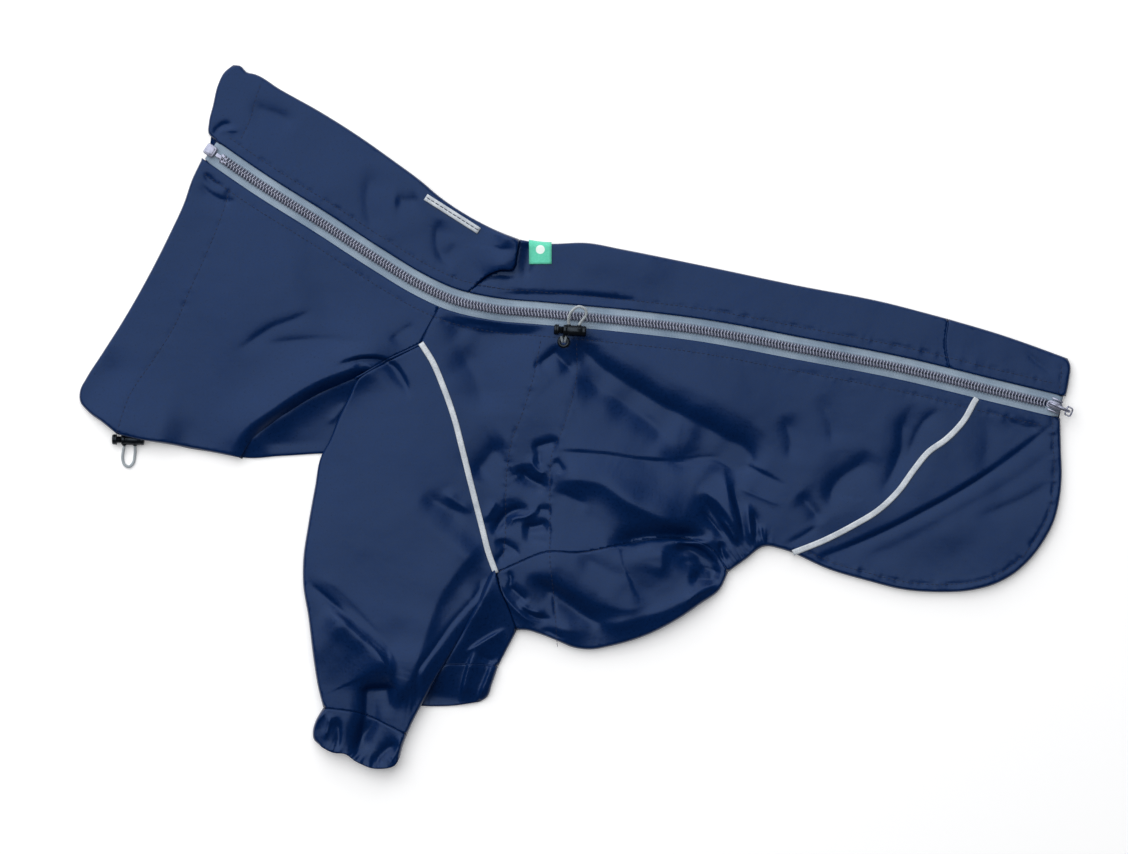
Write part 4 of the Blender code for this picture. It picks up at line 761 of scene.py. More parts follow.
def outline_of(runs):
    """One outline, anticlockwise, from (line, kind) runs. A seam is drawn back by half the gap, and
    another edge ends short of it by as much."""
    lines = [line_of(run[0]) if isinstance(run[0], str) else run[0] for run in runs]
    if min(apart(lines[0][0], end) for end in lines[1][:: len(lines[1]) - 1]) < 1:
        lines[0] = lines[0][::-1]
    points, kinds = list(lines[0]), [{runs[0][1]} for _ in lines[0]]
    for line, (_, kind, *_) in zip(lines[1:], runs[1:]):
        if apart(line[-1], points[-1]) < apart(line[0], points[-1]):
            line = line[::-1]
        if apart(line[0], points[-1]) < 1:
            kinds[-1].add(kind)
            line = line[1:]
        points += list(line)
        kinds += [{kind} for _ in line]
    if apart(points[0], points[-1]) < 1:
        kinds[0] |= kinds.pop()
        points.pop()
    points = np.array(points)
    ahead, behind = np.roll(points, -1, axis=0), np.roll(points, 1, axis=0)
    if (points[:, 0] * ahead[:, 1] - points[:, 1] * ahead[:, 0]).sum() < 0:
        points, kinds = points[::-1], kinds[::-1]
        ahead, behind = np.roll(points, -1, axis=0), np.roll(points, 1, axis=0)
    run = ahead - behind
    left = np.stack([-run[:, 1], run[:, 0]], 1) / np.linalg.norm(run, axis=1)[:, None]
    moved = points.copy()
    for i, kind in enumerate(kinds):
        if kind == {SEAM}:
            moved[i] += left[i] * SEAM_GAP / 2
        elif SEAM in kind:
            other = ahead[i] if kinds[(i + 1) % len(kinds)] != {SEAM} else behind[i]
            moved[i] += (other - points[i]) / apart(other, points[i]) * SEAM_GAP * 0.6
    return moved


def inside(points, outline):
    x0, y0 = outline.T
    x1, y1 = np.roll(outline, -1, axis=0).T
    found = []
    for part in np.array_split(points, len(points) // 2000 + 1):
        x, y = part[:, :1], part[:, 1:]
        with np.errstate(divide="ignore", invalid="ignore"):
            found.append((((y0 > y) != (y1 > y)) & (x < x0 + (y - y0) * (x1 - x0) / (y1 - y0))).sum(1) % 2 == 1)
    return np.concatenate(found)


def sheet(runs, face, spacing=1.3):
    """(points, triangles) of one layer of cloth inside the runs of its outline, each (line, kind) or
    (line, kind, roll). Where an edge's kind is a height, the cloth rolls over to it within the roll."""
    outline = outline_of(runs)
    border = np.vstack([outline, outline[:1]])
    edges = [
        (line_of(line) if isinstance(line, str) else line, kind, *(roll or (HEM_ROLL,)))
        for line, kind, *roll in runs
    ]
    rolled = [edge for edge in edges if callable(edge[1])]
    ring = [np.empty((0, 2))]
    for line, _, roll in rolled:
        for share in (0.03, 0.11, 0.25, 0.46, 0.72, 1.0):
            for side in (1, -1):
                offset = beside(line, side * share * roll)
                which, gap, _, _ = close_to(offset, border, 2 * roll)
                offset = offset[which[gap > 0.93 * share * roll]]
                ring.append(offset[inside(offset, outline)])
    ring = np.vstack(ring)
    ring = ring[np.unique(np.round(ring / 0.18), axis=0, return_index=True)[1]]
    low, high = outline.min(0), outline.max(0)
    field = []
    for step, crushed in ((spacing, False), (0.62 * spacing, True)):
        for k, y in enumerate(np.arange(low[1] + step / 2, high[1], step * math.sqrt(0.75))):
            xs = np.arange(low[0] + step * (k % 2) / 2, high[0], step)
            row = np.stack([xs, np.full(len(xs), y)], 1)
            near = np.zeros(len(xs), bool)
            for x, height, reach in CRUSHED if spacing < 3 else ():
                near |= np.hypot(*(row - (x, height)).T) < reach
            field.append(row[near == crushed])
    field = np.vstack(field)
    field = field[inside(field, outline)]
    clear = np.ones(len(field), bool)
    clear[close_to(field, border, min(0.5 * spacing, 2.0))[0]] = False
    for line, _, roll in rolled:
        clear[close_to(field, line, roll + min(0.4 * spacing, 2.0))[0]] = False
    flat = [Vector(point) for point in np.vstack([outline, ring, field[clear]])]
    found, _, triangles, *_ = delaunay_2d_cdt(flat, [], [list(range(len(outline)))], 1, 1e-5)
    points = np.array([tuple(point) for point in found])
    height = face(points)
    for line, kind, roll in edges:
        if kind == SEAM and face not in (on_table, far_sleeve_face):
            which, gap, _, _ = close_to(points, line, 4)
            height[which] -= 0.07 * np.exp(-((gap / 0.8) ** 2))
    for line, low_edge, roll in rolled:
        which, gap, _, _ = close_to(points, line, roll)
        part, foot = 1 - gap / roll, low_edge(points[which])
        height[which] = foot + (height[which] - foot) * (np.sqrt(1 - part**2) if roll < 5 else 1 - part**1.6)
    return np.column_stack([points, height]), triangles


# Polyurethane-coated nylon taffeta, navy: a tight plain weave with a soft sheen, slightly cockled, whose
# threads are 0.13 mm apart and are drawn as coarse as 0.8 mm so that they show.
taffeta, tree, shader = finish_of("PU-coated nylon taffeta, navy", "#011b44", 0.31, specular_ior_level=0.314)
shader.inputs["Specular Tint"].default_value = linear("#b1d0ff")
place = add(tree, "ShaderNodeTexCoord")
drift = add(tree, "ShaderNodeTexNoise", {"Vector": place.outputs["Object"], "Scale": 22.0, "Detail": 3.0})
mottle = add(tree, "ShaderNodeTexNoise", {"Vector": place.outputs["Object"], "Scale": 700.0, "Detail": 2.0})
cockle = add(tree, "ShaderNodeTexNoise", {"Vector": place.outputs["Object"], "Scale": 95.0, "Detail": 4.0})
shade = add(
    tree, "ShaderNodeMix", {0: drift.outputs["Fac"], 6: linear("#01193f"), 7: linear("#011d48")}, data_type="RGBA"
)
speck = add(
    tree, "ShaderNodeMapRange",
    {"Value": mottle.outputs["Fac"], "From Min": 0.35, "From Max": 0.65, "To Min": 0.86, "To Max": 1.14},
)
yarn = add(
    tree, "ShaderNodeMix", {0: 1.0, 6: shade.outputs[2], 7: speck.outputs[0]}, data_type="RGBA",
    blend_type="MULTIPLY",
)
tree.links.new(yarn.outputs[2], shader.inputs["Base Color"])
gloss = add(
    tree, "ShaderNodeMapRange",
    {"Value": mottle.outputs["Fac"], "From Min": 0.3, "From Max": 0.7, "To Min": 0.27, "To Max": 0.35},
)
tree.links.new(gloss.outputs[0], shader.inputs["Roughness"])
warp = add(tree, "ShaderNodeTexWave", {"Vector": place.outputs["Object"], "Scale": 390.0}, bands_direction="X")
weft = add(tree, "ShaderNodeTexWave", {"Vector": place.outputs["Object"], "Scale": 390.0}, bands_direction="Y")
weave = add(tree, "ShaderNodeMath", {0: warp.outputs["Fac"], 1: weft.outputs["Fac"]}, operation="ADD")
under = bumped(tree, shader, cockle.outputs["Fac"], 0.5, 0.35)
bumped(tree, shader, weave.outputs[0], 0.03, 0.25, under)


def cloth(name, top=None, under=None):
    """A panel from its upper and lower layers, which join along the folds that they share, as a shell."""
    points, faces = [], []
    for layer, way in ((top, 1), (under, -1)):
        if layer is not None:
            start = sum(map(len, points))
            points.append(layer[0])
            faces += [tuple(start + i for i in triangle[::way]) for triangle in layer[1]]
    points = np.vstack(points)
    if top is not None and under is not None:
        _, first, index = np.unique(np.round(points / 0.02), axis=0, return_index=True, return_inverse=True)
        points, index = points[first], index.reshape(-1)
        faces = [tuple(index[i] for i in face) for face in faces]
        faces = [face for face in faces if len(set(face)) == 3]
    piece = object_of(name, points, faces)
    wall = piece.modifiers.new("thickness", "SOLIDIFY")
    wall.thickness = WALL * MM
    wall.offset = -1
    fixed(piece, taffeta, (name,))
    piece.name = f"{name}_cloth"
    return piece


crest = line_of("crest")
at_sleeve = int(np.argmax(crest[:, 0] > -133))
cloth(
    "neck_near",
    top=sheet(
        ((zip_edge(-1, None, "shoulder"), turned_under(near_face), TURNED_EDGE), (to_zip("shoulder", -1), SEAM),
         (crest[at_sleeve:], SEAM), (crest[: at_sleeve + 1], hem_lip, 7.0), ("throat", hem_lip),
         ("opening_near", hem_lip)),
        near_face,
    ),
)


def strip_face(points):
    return near_face(points, TUCK_LIFT)


cloth(
    "neck_far",
    top=sheet(
        ((zip_edge(1, None, "tuck"), turned_under(strip_face), TURNED_EDGE), (to_zip("tuck", 1), SEAM),
         ("back_neck", halved(strip_face)), ("opening_far", halved(strip_face))),
        strip_face,
    ),
    under=sheet(
        (("back_neck", halved(strip_face)), ("far_shoulder", SEAM), ("crest", SEAM), ("throat_under", CUT),
         ("opening_under", CUT)),
        on_table, 20,
    ),
)


# ---- Chest panel ----
# The coat's throat, folded flat under the near neck panel's edge: its upper layer shows in the notch
# between the neck and the near sleeve.

throat_fold = ("chest_fold", halved(chest_face))
cloth(
    "chest_panel",
    top=sheet((throat_fold, ("chest_side", SEAM), ("chest_tuck", SEAM)), chest_face),
    under=sheet((throat_fold, ("chest_side", SEAM), ("chest_crest", SEAM)), on_table, 20),
)


# ---- Body panels ----
# The near body panel, drawn in at the waist, and the far one, which comes round the back's fold. Both
# run to the elastic leg edge, where they are gathered.


def body_strip_face(points):
    return near_face(points, TUCK_SHADOW)


cloth(
    "body_near",
    top=sheet(
        ((zip_edge(-1, "shoulder", "hip_seam"), turned_under(near_face), TURNED_EDGE),
         (to_zip("hip_seam", -1), SEAM),
         ("leg_edge", hem_lip), ("belly_seam", SEAM), ("armhole", SEAM), (to_zip("shoulder", -1), SEAM)),
        near_face,
    ),
)
back_fold = ("back_body", halved(body_strip_face))
cloth(
    "body_far",
    top=sheet(
        ((zip_edge(1, "tuck", "hip_strip_seam"), turned_under(body_strip_face), TURNED_EDGE),
         (to_zip("hip_strip_seam", 1), SEAM), back_fold, (to_zip("tuck", 1), SEAM)),
        body_strip_face,
    ),
    under=sheet(
        (back_fold, ("hip_under_seam", SEAM), ("hip_seam", SEAM), ("leg_edge", CUT), ("belly_seam", SEAM),
         ("armhole", SEAM), ("far_shoulder", SEAM)),
        on_table, 20,
    ),
)


# ---- Hip panels ----
# The rear flaps that cover the hips, cut round at their hem, and joined to the body at the piped seam.

cloth(
    "hip_near",
    top=sheet(
        ((zip_edge(-1, "hip_seam"), turned_under(near_face), TURNED_EDGE), ("hip_hem", hem_lip),
         (to_zip("hip_seam", -1), SEAM)),
        near_face,
    ),
)
hip_fold = ("back_hip", halved(near_face))
cloth(
    "hip_far",
    top=sheet(
        ((zip_edge(1, "hip_strip_seam"), turned_under(near_face), TURNED_EDGE), ("tail_far", hem_lip), hip_fold,
         (to_zip("hip_strip_seam", 1), SEAM)),
        near_face,
    ),
    under=sheet((hip_fold, ("tail_under", CUT), ("hip_seam", SEAM), ("hip_under_seam", SEAM)), on_table, 20),
)


# ---- Belly panel, sleeves and cuffs ----
# Tubes of the same cloth pressed flat: the belly under the waist, and the two front sleeves with their
# elastic cuffs, the near sleeve lying on the far one.


def tube(name, edges, folds, face, floor):
    """A flattened tube: an upper and a lower layer that join along its long folds."""
    middle = halved(face, floor)
    runs = [(edge, middle if edge in folds else kind) for edge, kind in edges]
    cloth(name, top=sheet(runs, face), under=sheet(runs, floor, 8))


tube(
    "belly_panel",
    (("belly_seam", SEAM), ("belly_fold", None), ("underarm", SEAM)), ("belly_fold",), near_face, on_table,
)
tube(
    "sleeve_near",
    (("armhole", SEAM), ("sleeve_rear", None), ("cuff_seam", SEAM), ("sleeve_front", None)),
    ("sleeve_front", "sleeve_rear"), sleeve_face, sleeve_floor,
)
tube(
    "cuff_near",
    (("cuff_seam", SEAM), ("cuff_rear", None), ("cuff_end", CUT), ("cuff_front", None)),
    ("cuff_front", "cuff_rear"), sleeve_face, sleeve_floor,
)
tube(
    "sleeve_far",
    (("armhole", SEAM), ("underarm", SEAM), ("far_rear", None), ("far_cuff_seam", SEAM), ("far_front", None)),
    ("far_front", "far_rear"), far_sleeve_face, on_table,
)
tube(
    "cuff_far",
    (("far_cuff_seam", SEAM), ("far_cuff_rear", None), ("far_cuff_end", CUT), ("far_cuff_front", None)),
    ("far_cuff_front", "far_cuff_rear"), far_sleeve_face, on_table,
)


# ---- Zip ----
# A closed nylon coil zip. Two woven polyester tapes are sewn under the cloth's folded edges, with a
# coil of nylon monofilament stitched along each; the coils' heads hook into each other.

TAPE_DROP = 1.4  # from the cloth's face down to the tape's
TAPE_WALL = 0.6
TAPE_START = 2.5
SLIDER_AT = 5.0  # from the zip's end
SLIDER_LENGTH = 10.0
BOX_AT = 1.5
zip_line = smooth(LINES["zip"], 1)


def zip_run(start, end, step):
    """The zip's line between two distances along it, the second back from its end."""
    return smooth(zip_line[round(start) : len(zip_line) - round(end)], step)


def ribbon(name, line, offsets, heights, face, wall):
    """A strip along a line: its columns stand at the offsets to the line's left and at heights above
    the cloth. Its UV map runs across and along it, in metres."""
    columns = []
    for offset, rise in zip(offsets, heights):
        column = beside(line, offset)
        columns.append(np.column_stack([column, face(column) + rise]))
    count, wide = len(line), len(columns)
    points = np.stack(columns, 1).reshape(-1, 3)
    order = -1 if np.ravel(offsets[-1])[0] > np.ravel(offsets[0])[0] else 1
    faces = [
        (i * wide + k, i * wide + k + 1, (i + 1) * wide + k + 1, (i + 1) * wide + k)[::order]
        for i in range(count - 1) for k in range(wide - 1)
    ]
    made = object_of(name, points, faces)
    along = np.r_[0, np.cumsum(np.linalg.norm(np.diff(line, axis=0), axis=1))]
    across = np.stack([np.broadcast_to(offset, count) for offset in offsets], 1)
    mapped(made, np.stack([across, np.broadcast_to(along[:, None], across.shape)], 2).reshape(-1, 2) * MM)
    shell = made.modifiers.new("thickness", "SOLIDIFY")
    shell.thickness = wall * MM
    shell.offset = -1
    return made


# Woven polyester tape, grey blue and matt: a herringbone of 0.35 mm yarns, drawn at 1 mm, with a faint
# bruise of shade here and there.
tape_weave, tree, shader = finish_of("woven polyester zip tape", "#7d8fa2", 0.85, sheen_weight=0.2)
place = add(tree, "ShaderNodeTexCoord")
ribs = add(tree, "ShaderNodeTexWave", {"Vector": place.outputs["UV"], "Scale": 320.0}, bands_direction="Y")
cords = add(tree, "ShaderNodeTexWave", {"Vector": place.outputs["UV"], "Scale": 150.0}, bands_direction="X")
dull = add(tree, "ShaderNodeTexNoise", {"Vector": place.outputs["Object"], "Scale": 45.0, "Detail": 4.0})
tone = add(tree, "ShaderNodeMapRange", {"Value": dull.outputs["Fac"], "From Min": 0.35, "From Max": 0.65})
tint = add(
    tree, "ShaderNodeMix", {0: tone.outputs[0], 6: linear("#74879b"), 7: linear("#8d9eaf")}, data_type="RGBA"
)
tree.links.new(tint.outputs[2], shader.inputs["Base Color"])
threads = add(tree, "ShaderNodeMath", {0: ribs.outputs["Fac"], 1: cords.outputs["Fac"]}, operation="ADD")
bumped(tree, shader, threads.outputs[0], 0.12, 0.5)

# The cloth's own seams are closed by a bead of sealant, level with its face to a tenth of a millimetre.
for name, line, face, depth in (
    ("hip_strip", to_zip("hip_strip_seam", 1), near_face, -0.03),
    ("belly", line_of("belly_seam"), near_face, 0.08),
    ("shoulder", to_zip("shoulder", -1), near_face, 0.05),
    ("cuff", line_of("cuff_seam"), sleeve_face, 0.1),
    ("far_cuff", line_of("far_cuff_seam"), far_sleeve_face, -0.03),
):
    half = 0.12 if depth > 0 else 0.4
    bead = ribbon(f"{name}_seam_sealant", line[1:-1], (-half, 0, half), (-depth,) * 3, face, 0.3)
    fixed(bead, taffeta)
for name, line, face, offsets, heights in (
    ("collar", crest[at_sleeve - 2 :], near_face, (-1.4, -0.8, -0.4, 0.1), (-0.35, -0.1, -0.04, -0.03)),
    ("underarm", line_of("underarm"), on_table, (-3, 0, 3), (0.95, 0.95, 0.95)),
):
    tape = ribbon(f"{name}_seam_tape", line, offsets, heights, face, 0.3)
    fixed(tape, taffeta)

line = zip_run(TAPE_START, 0, 2.5)
to_end = np.linspace(len(zip_line) - TAPE_START, 0, len(line))
tuck = eased(np.minimum(to_end, to_end[::-1]) / 14)
part = 1.6 * eased((SLIDER_AT + 20 - to_end) / 12)
for name, side in (("near", -1), ("far", 1)):
    shares = (1.0, 0.8, 0.55, 0.3, 0.12, 0.0)
    offsets = [side * ((0.2 + part) * (1 - share) + share * (ZIP_GAP - 0.6 + 3.0 * tuck)) for share in shares]
    tape = ribbon(
        f"zip_tape_{name}_weave", line, offsets[::-1] if side > 0 else offsets, [-TAPE_DROP] * 6, near_face,
        TAPE_WALL,
    )
    fixed(tape, tape_weave, (f"zip_tape_{name}",))


def parts_tree():
    """Geometry nodes that set a part along lines, evenly spaced, its X along the line and its Z up."""
    made = bpy.data.node_groups.new("parts along lines", "GeometryNodeTree")
    sockets = {}
    for name, kind in (
        ("Lines", "Geometry"), ("Part", "Object"), ("Spacing", "Float"), ("Shortest", "Float"), ("Seed", "Int"),
        ("Finish", "Material"),
    ):
        sockets[name] = made.interface.new_socket(name, in_out="INPUT", socket_type=f"NodeSocket{kind}").identifier
    made.interface.new_socket("Parts", in_out="OUTPUT", socket_type="NodeSocketGeometry")
    given = add(made, "NodeGroupInput").outputs
    curve = add(made, "GeometryNodeMeshToCurve", {"Mesh": given["Lines"]})
    even = add(
        made, "GeometryNodeResampleCurve", {"Curve": curve.outputs[0], "Length": given["Spacing"]}, mode="LENGTH"
    )
    heading = add(made, "GeometryNodeInputTangent")
    turned = add(made, "FunctionNodeAlignEulerToVector", {"Vector": heading.outputs[0]}, axis="X")
    level = add(
        made, "FunctionNodeAlignEulerToVector", {"Rotation": turned.outputs[0], "Vector": (0, 0, 1)},
        axis="Z", pivot_axis="X",
    )
    length = add(made, "FunctionNodeRandomValue", {2: given["Shortest"], 3: 1.0, "Seed": given["Seed"]})
    size = add(made, "ShaderNodeCombineXYZ", {"X": length.outputs[1], "Y": 1.0, "Z": 1.0})
    part = add(made, "GeometryNodeObjectInfo", {"Object": given["Part"]})
    placed = add(
        made, "GeometryNodeInstanceOnPoints",
        {"Points": even.outputs[0], "Instance": part.outputs["Geometry"], "Rotation": level.outputs[0],
         "Scale": size.outputs[0]},
    )
    real = add(made, "GeometryNodeRealizeInstances", {0: placed.outputs[0]})
    finished = add(made, "GeometryNodeSetMaterial", {"Geometry": real.outputs[0], "Material": given["Finish"]})
    add(made, "NodeGroupOutput", {0: finished.outputs[0]})
    return made, sockets


PARTS, PART_SOCKETS = parts_tree()


def set_along(name, lines, part, spacing, finish, shortest=1.0, seed=1):
    """A plain mesh of the part (points, faces) repeated along the lines, as one object."""
    model = object_of("part model", *part)
    points = np.vstack(lines) * MM
    starts = np.cumsum([0] + [len(line) for line in lines])
    edges = [(a + i, a + i + 1) for a, line in zip(starts, lines) for i in range(len(line) - 1)]
    data = bpy.data.meshes.new("guide lines")
    data.from_pydata(points.tolist(), edges, [])
    guide = bpy.data.objects.new("guide lines", data)
    scene.collection.objects.link(guide)
    repeat = guide.modifiers.new("parts", "NODES")
    repeat.node_group = PARTS
    for socket, value in (
        ("Part", model), ("Spacing", spacing * MM), ("Shortest", shortest), ("Seed", seed), ("Finish", finish)
    ):
        repeat[PART_SOCKETS[socket]] = value
    graph = bpy.context.evaluated_depsgraph_get()
    mesh = bpy.data.meshes.new_from_object(guide.evaluated_get(graph), depsgraph=graph)
    for spare in (guide, model):
        bpy.data.objects.remove(spare)
    mesh.name = name
    made = bpy.data.objects.new(name, mesh)
    scene.collection.objects.link(made)
    return made


def joined(*parts):
    """One (points, faces) of several."""
    starts = np.cumsum([0] + [len(part[0]) for part in parts])
    points = np.vstack([part[0] for part in parts])
    return points, [tuple(int(start) + i for i in face) for start, part in zip(starts, parts) for face in part[1]]


# Nylon monofilament of 0.7 mm with a silvery lavender metal coat, thinly worn: it catches the light on
# every turn and leaves a dark gap to the next.
filament, tree, shader = finish_of("metal-coated nylon filament", "#9093a5", 0.34, 0.5)
place = add(tree, "ShaderNodeTexCoord")
wear = add(tree, "ShaderNodeTexNoise", {"Vector": place.outputs["Object"], "Scale": 260.0, "Detail": 3.0})
tint = add(
    tree, "ShaderNodeMix", {0: wear.outputs["Fac"], 6: linear("#6d7184"), 7: linear("#a9adbf")}, data_type="RGBA"
)
tree.links.new(tint.outputs[2], shader.inputs["Base Color"])
rub = add(tree, "ShaderNodeMapRange", {"Value": wear.outputs["Fac"], "To Min": 0.24, "To Max": 0.42})
tree.links.new(rub.outputs[0], shader.inputs["Roughness"])

# A strip of dark grey spun polyester cord under each coil, which the gaps between the turns show. Its dark colour
# is painted shade: it stands in for the shadow in those gaps.
painted_coil_gap_shade, tree, shader = finish_of("dark grey cord, painted shade in the coil's gaps", "#565d73", 0.8)
place = add(tree, "ShaderNodeTexCoord")
ply = add(tree, "ShaderNodeTexWave", {"Vector": place.outputs["UV"], "Scale": 300.0}, bands_direction="DIAGONAL")
bumped(tree, shader, ply.outputs["Fac"], 0.1, 0.6)

PITCH = 2.0
WIRE = 0.4
turn = smooth(
    (
        (0.0, -0.25, -0.55), (0.0, -0.62, 0.0), (0.06, -0.2, 0.62), (0.3, 0.8, 0.72),
        (0.72, 2.15, 0.68), (0.95, 2.75, 0.0), (1.0, 2.35, -0.6),
    ),
    0.62,
)
coil_run = zip_run(BOX_AT + 9, SLIDER_AT + SLIDER_LENGTH / 2 + 1, 1)
coil_run = np.column_stack([coil_run, near_face(coil_run) - 0.1])
for name, side, shift in (("near", -1, 0), ("far", 1, 1)):
    points, faces = rod(turn, WIRE, 7)
    points[:, 1] *= side
    faces = faces if side > 0 else [face[::-1] for face in faces]
    coil = set_along(f"zip_coil_{name}", [coil_run[shift:]], (points, faces), PITCH, filament)
    coil.data.polygons.foreach_set("use_smooth", [True] * len(coil.data.polygons))
    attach(coil, "garment")
    if side < 0:
        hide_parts("zip_chain")
    # The dark strip under the coil, whose colour is painted shade for the gaps between the turns.
    cord = ribbon(
        f"zip_core_{name}", coil_run[shift:, :2], [side * share for share in (0.5, 1.0, 1.6, 2.2)][::-side],
        (-0.75, -0.45, -0.45, -0.75), near_face, 0.3,
    )
    fixed(cord, painted_coil_gap_shade)


# ---- Stitching ----
# Lockstitch in navy polyester thread: beside the zip, round the hems, and down both sides of the
# waist casing. Each stitch sinks into the cloth at its ends.

# Spun polyester thread, dark navy: matt and finely twisted.
thread, tree, shader = finish_of("spun polyester thread, navy", "#0b1838", 0.7)
place = add(tree, "ShaderNodeTexCoord")
twist = add(tree, "ShaderNodeTexNoise", {"Vector": place.outputs["Object"], "Scale": 2500.0, "Detail": 1.0})
bumped(tree, shader, twist.outputs["Fac"], 0.05, 0.5)

STITCH = 2.3
STITCH_SPACING = 3.0
THREAD = 0.19


def stitch(length, radius):
    """One stitch along X, bowed up between the holes that it goes into."""
    bow = [(length * (share - 0.5), 0, 0.12 - 0.5 * abs(2 * share - 1) ** 4) for share in np.linspace(0, 1, 6)]
    return rod(bow, radius, 5)


def stitched(name, lines, face, length=STITCH, radius=THREAD, rise=0.05):
    """Rows of stitches along lines of (x, y) on the cloth."""
    rows = [np.column_stack([line, face(line) + rise]) for line in lines]
    made = set_along(name, rows, stitch(length, radius), STITCH_SPACING, thread, 0.85)
    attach(made, "garment")
    return made


stitched("hem_and_casing_stitches", [stitch_line(name) for name in STITCHED], near_face)


# ---- Reflective trim ----
# Glass-bead reflective tape: folded as a flat piping in the armhole and hip seams, and sewn on as a
# short strip at the nape.

# Glass beads bonded on polyester, silver grey: matt in soft light with a fine grain and faint rubbed marks.
beads, tree, shader = finish_of("glass-bead reflective tape", "#b9c0c8", 0.55)
place = add(tree, "ShaderNodeTexCoord")
grit = add(tree, "ShaderNodeTexNoise", {"Vector": place.outputs["Object"], "Scale": 1400.0, "Detail": 2.0})
rubs = add(tree, "ShaderNodeTexNoise", {"Vector": place.outputs["Object"], "Scale": 120.0, "Detail": 4.0})
mixed = add(tree, "ShaderNodeMath", {0: grit.outputs["Fac"], 1: rubs.outputs["Fac"]}, operation="MULTIPLY")
tone = add(tree, "ShaderNodeMapRange", {"Value": mixed.outputs[0], "From Min": 0.12, "From Max": 0.38})
tint = add(
    tree, "ShaderNodeMix", {0: tone.outputs[0], 6: linear("#a3abb5"), 7: linear("#ccd2d8")}, data_type="RGBA"
)
tree.links.new(tint.outputs[2], shader.inputs["Base Color"])
bumped(tree, shader, grit.outputs["Fac"], 0.05, 0.4)

PIPING_WIDTH = 3.7
ON_CLOTH = 0.5
half = PIPING_WIDTH / 2
for name, line, face in (
    ("armhole", line_of("armhole", 2), sleeve_face), ("hip", to_zip("hip_seam", -1), near_face)
):
    piping = ribbon(
        f"{name}_piping_tape", line, (-half, -0.92 * half, -0.5 * half, 0, 0.5 * half, 0.92 * half, half),
        (ON_CLOTH - 0.1, 0.95, 1.0, 1.0, 1.0, 0.95, ON_CLOTH - 0.1), face, 0.35,
    )
    fixed(piping, beads, (f"piping_{name}",))
nape_line = smooth(((-92.5, 136), (-76, 125.5), (-59.5, 115)), 2)
strip = ribbon(
    "nape_strip_tape", nape_line, (-2.2, -1.9, -0.3, 0.1, 0.5, 1.9, 2.2),
    (0.75, 1.15, 1.2, 0.9, 1.2, 1.15, 0.75), strip_face, 0.4,
)
fixed(strip, beads, ("reflective_strip",))
stitched("nape_strip_stitches", [beside(nape_line, 0.1)[1:-1]], strip_face, length=3.1, radius=0.27, rise=1.0)


# ---- Label ----
# A folded label of woven polyester in teal, sewn over the back's fold, plain but for a white dot.

LABEL_FOOT = 94.5
LABEL_LEFT, LABEL_RIGHT = -28.5, -14.5
LABEL_WALL = 0.6
LABEL_DOT = (-21.5, 103.5)
LABEL_DOT_RADIUS, LABEL_DOT_EDGE = 2.6, 0.3
damask, tree, shader = finish_of("woven damask label, teal", "#4fc3a3", 0.8, sheen_weight=0.2)
place = add(tree, "ShaderNodeTexCoord")
picks = add(tree, "ShaderNodeTexWave", {"Vector": place.outputs["Object"], "Scale": 520.0}, bands_direction="Y")
fleck = add(tree, "ShaderNodeTexNoise", {"Vector": place.outputs["Object"], "Scale": 900.0, "Detail": 2.0})
to_dot = (-LABEL_DOT[0] * MM, -LABEL_DOT[1] * MM, 0)
middle = add(tree, "ShaderNodeMapping", {"Vector": place.outputs["Object"], "Location": to_dot})
from_middle = add(tree, "ShaderNodeVectorMath", {0: middle.outputs[0], 1: (1, 1, 0)}, operation="MULTIPLY")
away = add(tree, "ShaderNodeVectorMath", {0: from_middle.outputs[0]}, operation="LENGTH")
dot = add(
    tree, "ShaderNodeMapRange",
    {
        "Value": away.outputs["Value"], "From Min": (LABEL_DOT_RADIUS + LABEL_DOT_EDGE) * MM,
        "From Max": LABEL_DOT_RADIUS * MM, "To Min": 0.0, "To Max": 0.9,
    },
)
tone = add(
    tree, "ShaderNodeMix", {0: fleck.outputs["Fac"], 6: linear("#45b596"), 7: linear("#66d2b3")}, data_type="RGBA"
)
woven = add(tree, "ShaderNodeMix", {0: dot.outputs[0], 6: tone.outputs[2], 7: linear("#e9efec")}, data_type="RGBA")
tree.links.new(woven.outputs[2], shader.inputs["Base Color"])
bumped(tree, shader, picks.outputs["Fac"], 0.08, 0.5)

back = line_of("back_body")
columns = np.linspace(LABEL_LEFT, LABEL_RIGHT, 8)
reach = ON_CLOTH + LABEL_WALL
points = []
for x in columns:
    edge = float(np.interp(x, back[:, 0], back[:, 1]))
    rows = [
        (x, y, float(body_strip_face(np.array(((x, y),)))[0]) + reach)
        for y in np.linspace(LABEL_FOOT, edge - 3, 8)
    ]
    middle = (rows[-1][2] - reach) / 2
    for angle in np.radians((75, 60, 45, 30, 15, 0)):
        rows.append((x, edge - 3 + (3 + reach) * math.cos(angle), middle + (middle + reach) * math.sin(angle)))
    points += rows
tall = len(points) // len(columns)
label = object_of(
    "label_weave", points,
    [
        (a * tall + k, (a + 1) * tall + k, (a + 1) * tall + k + 1, a * tall + k + 1)
        for a in range(len(columns) - 1) for k in range(tall - 1)
    ],
)
shell = label.modifiers.new("thickness", "SOLIDIFY")
shell.thickness = LABEL_WALL * MM
shell.offset = -1
fixed(label, damask, ("label",))
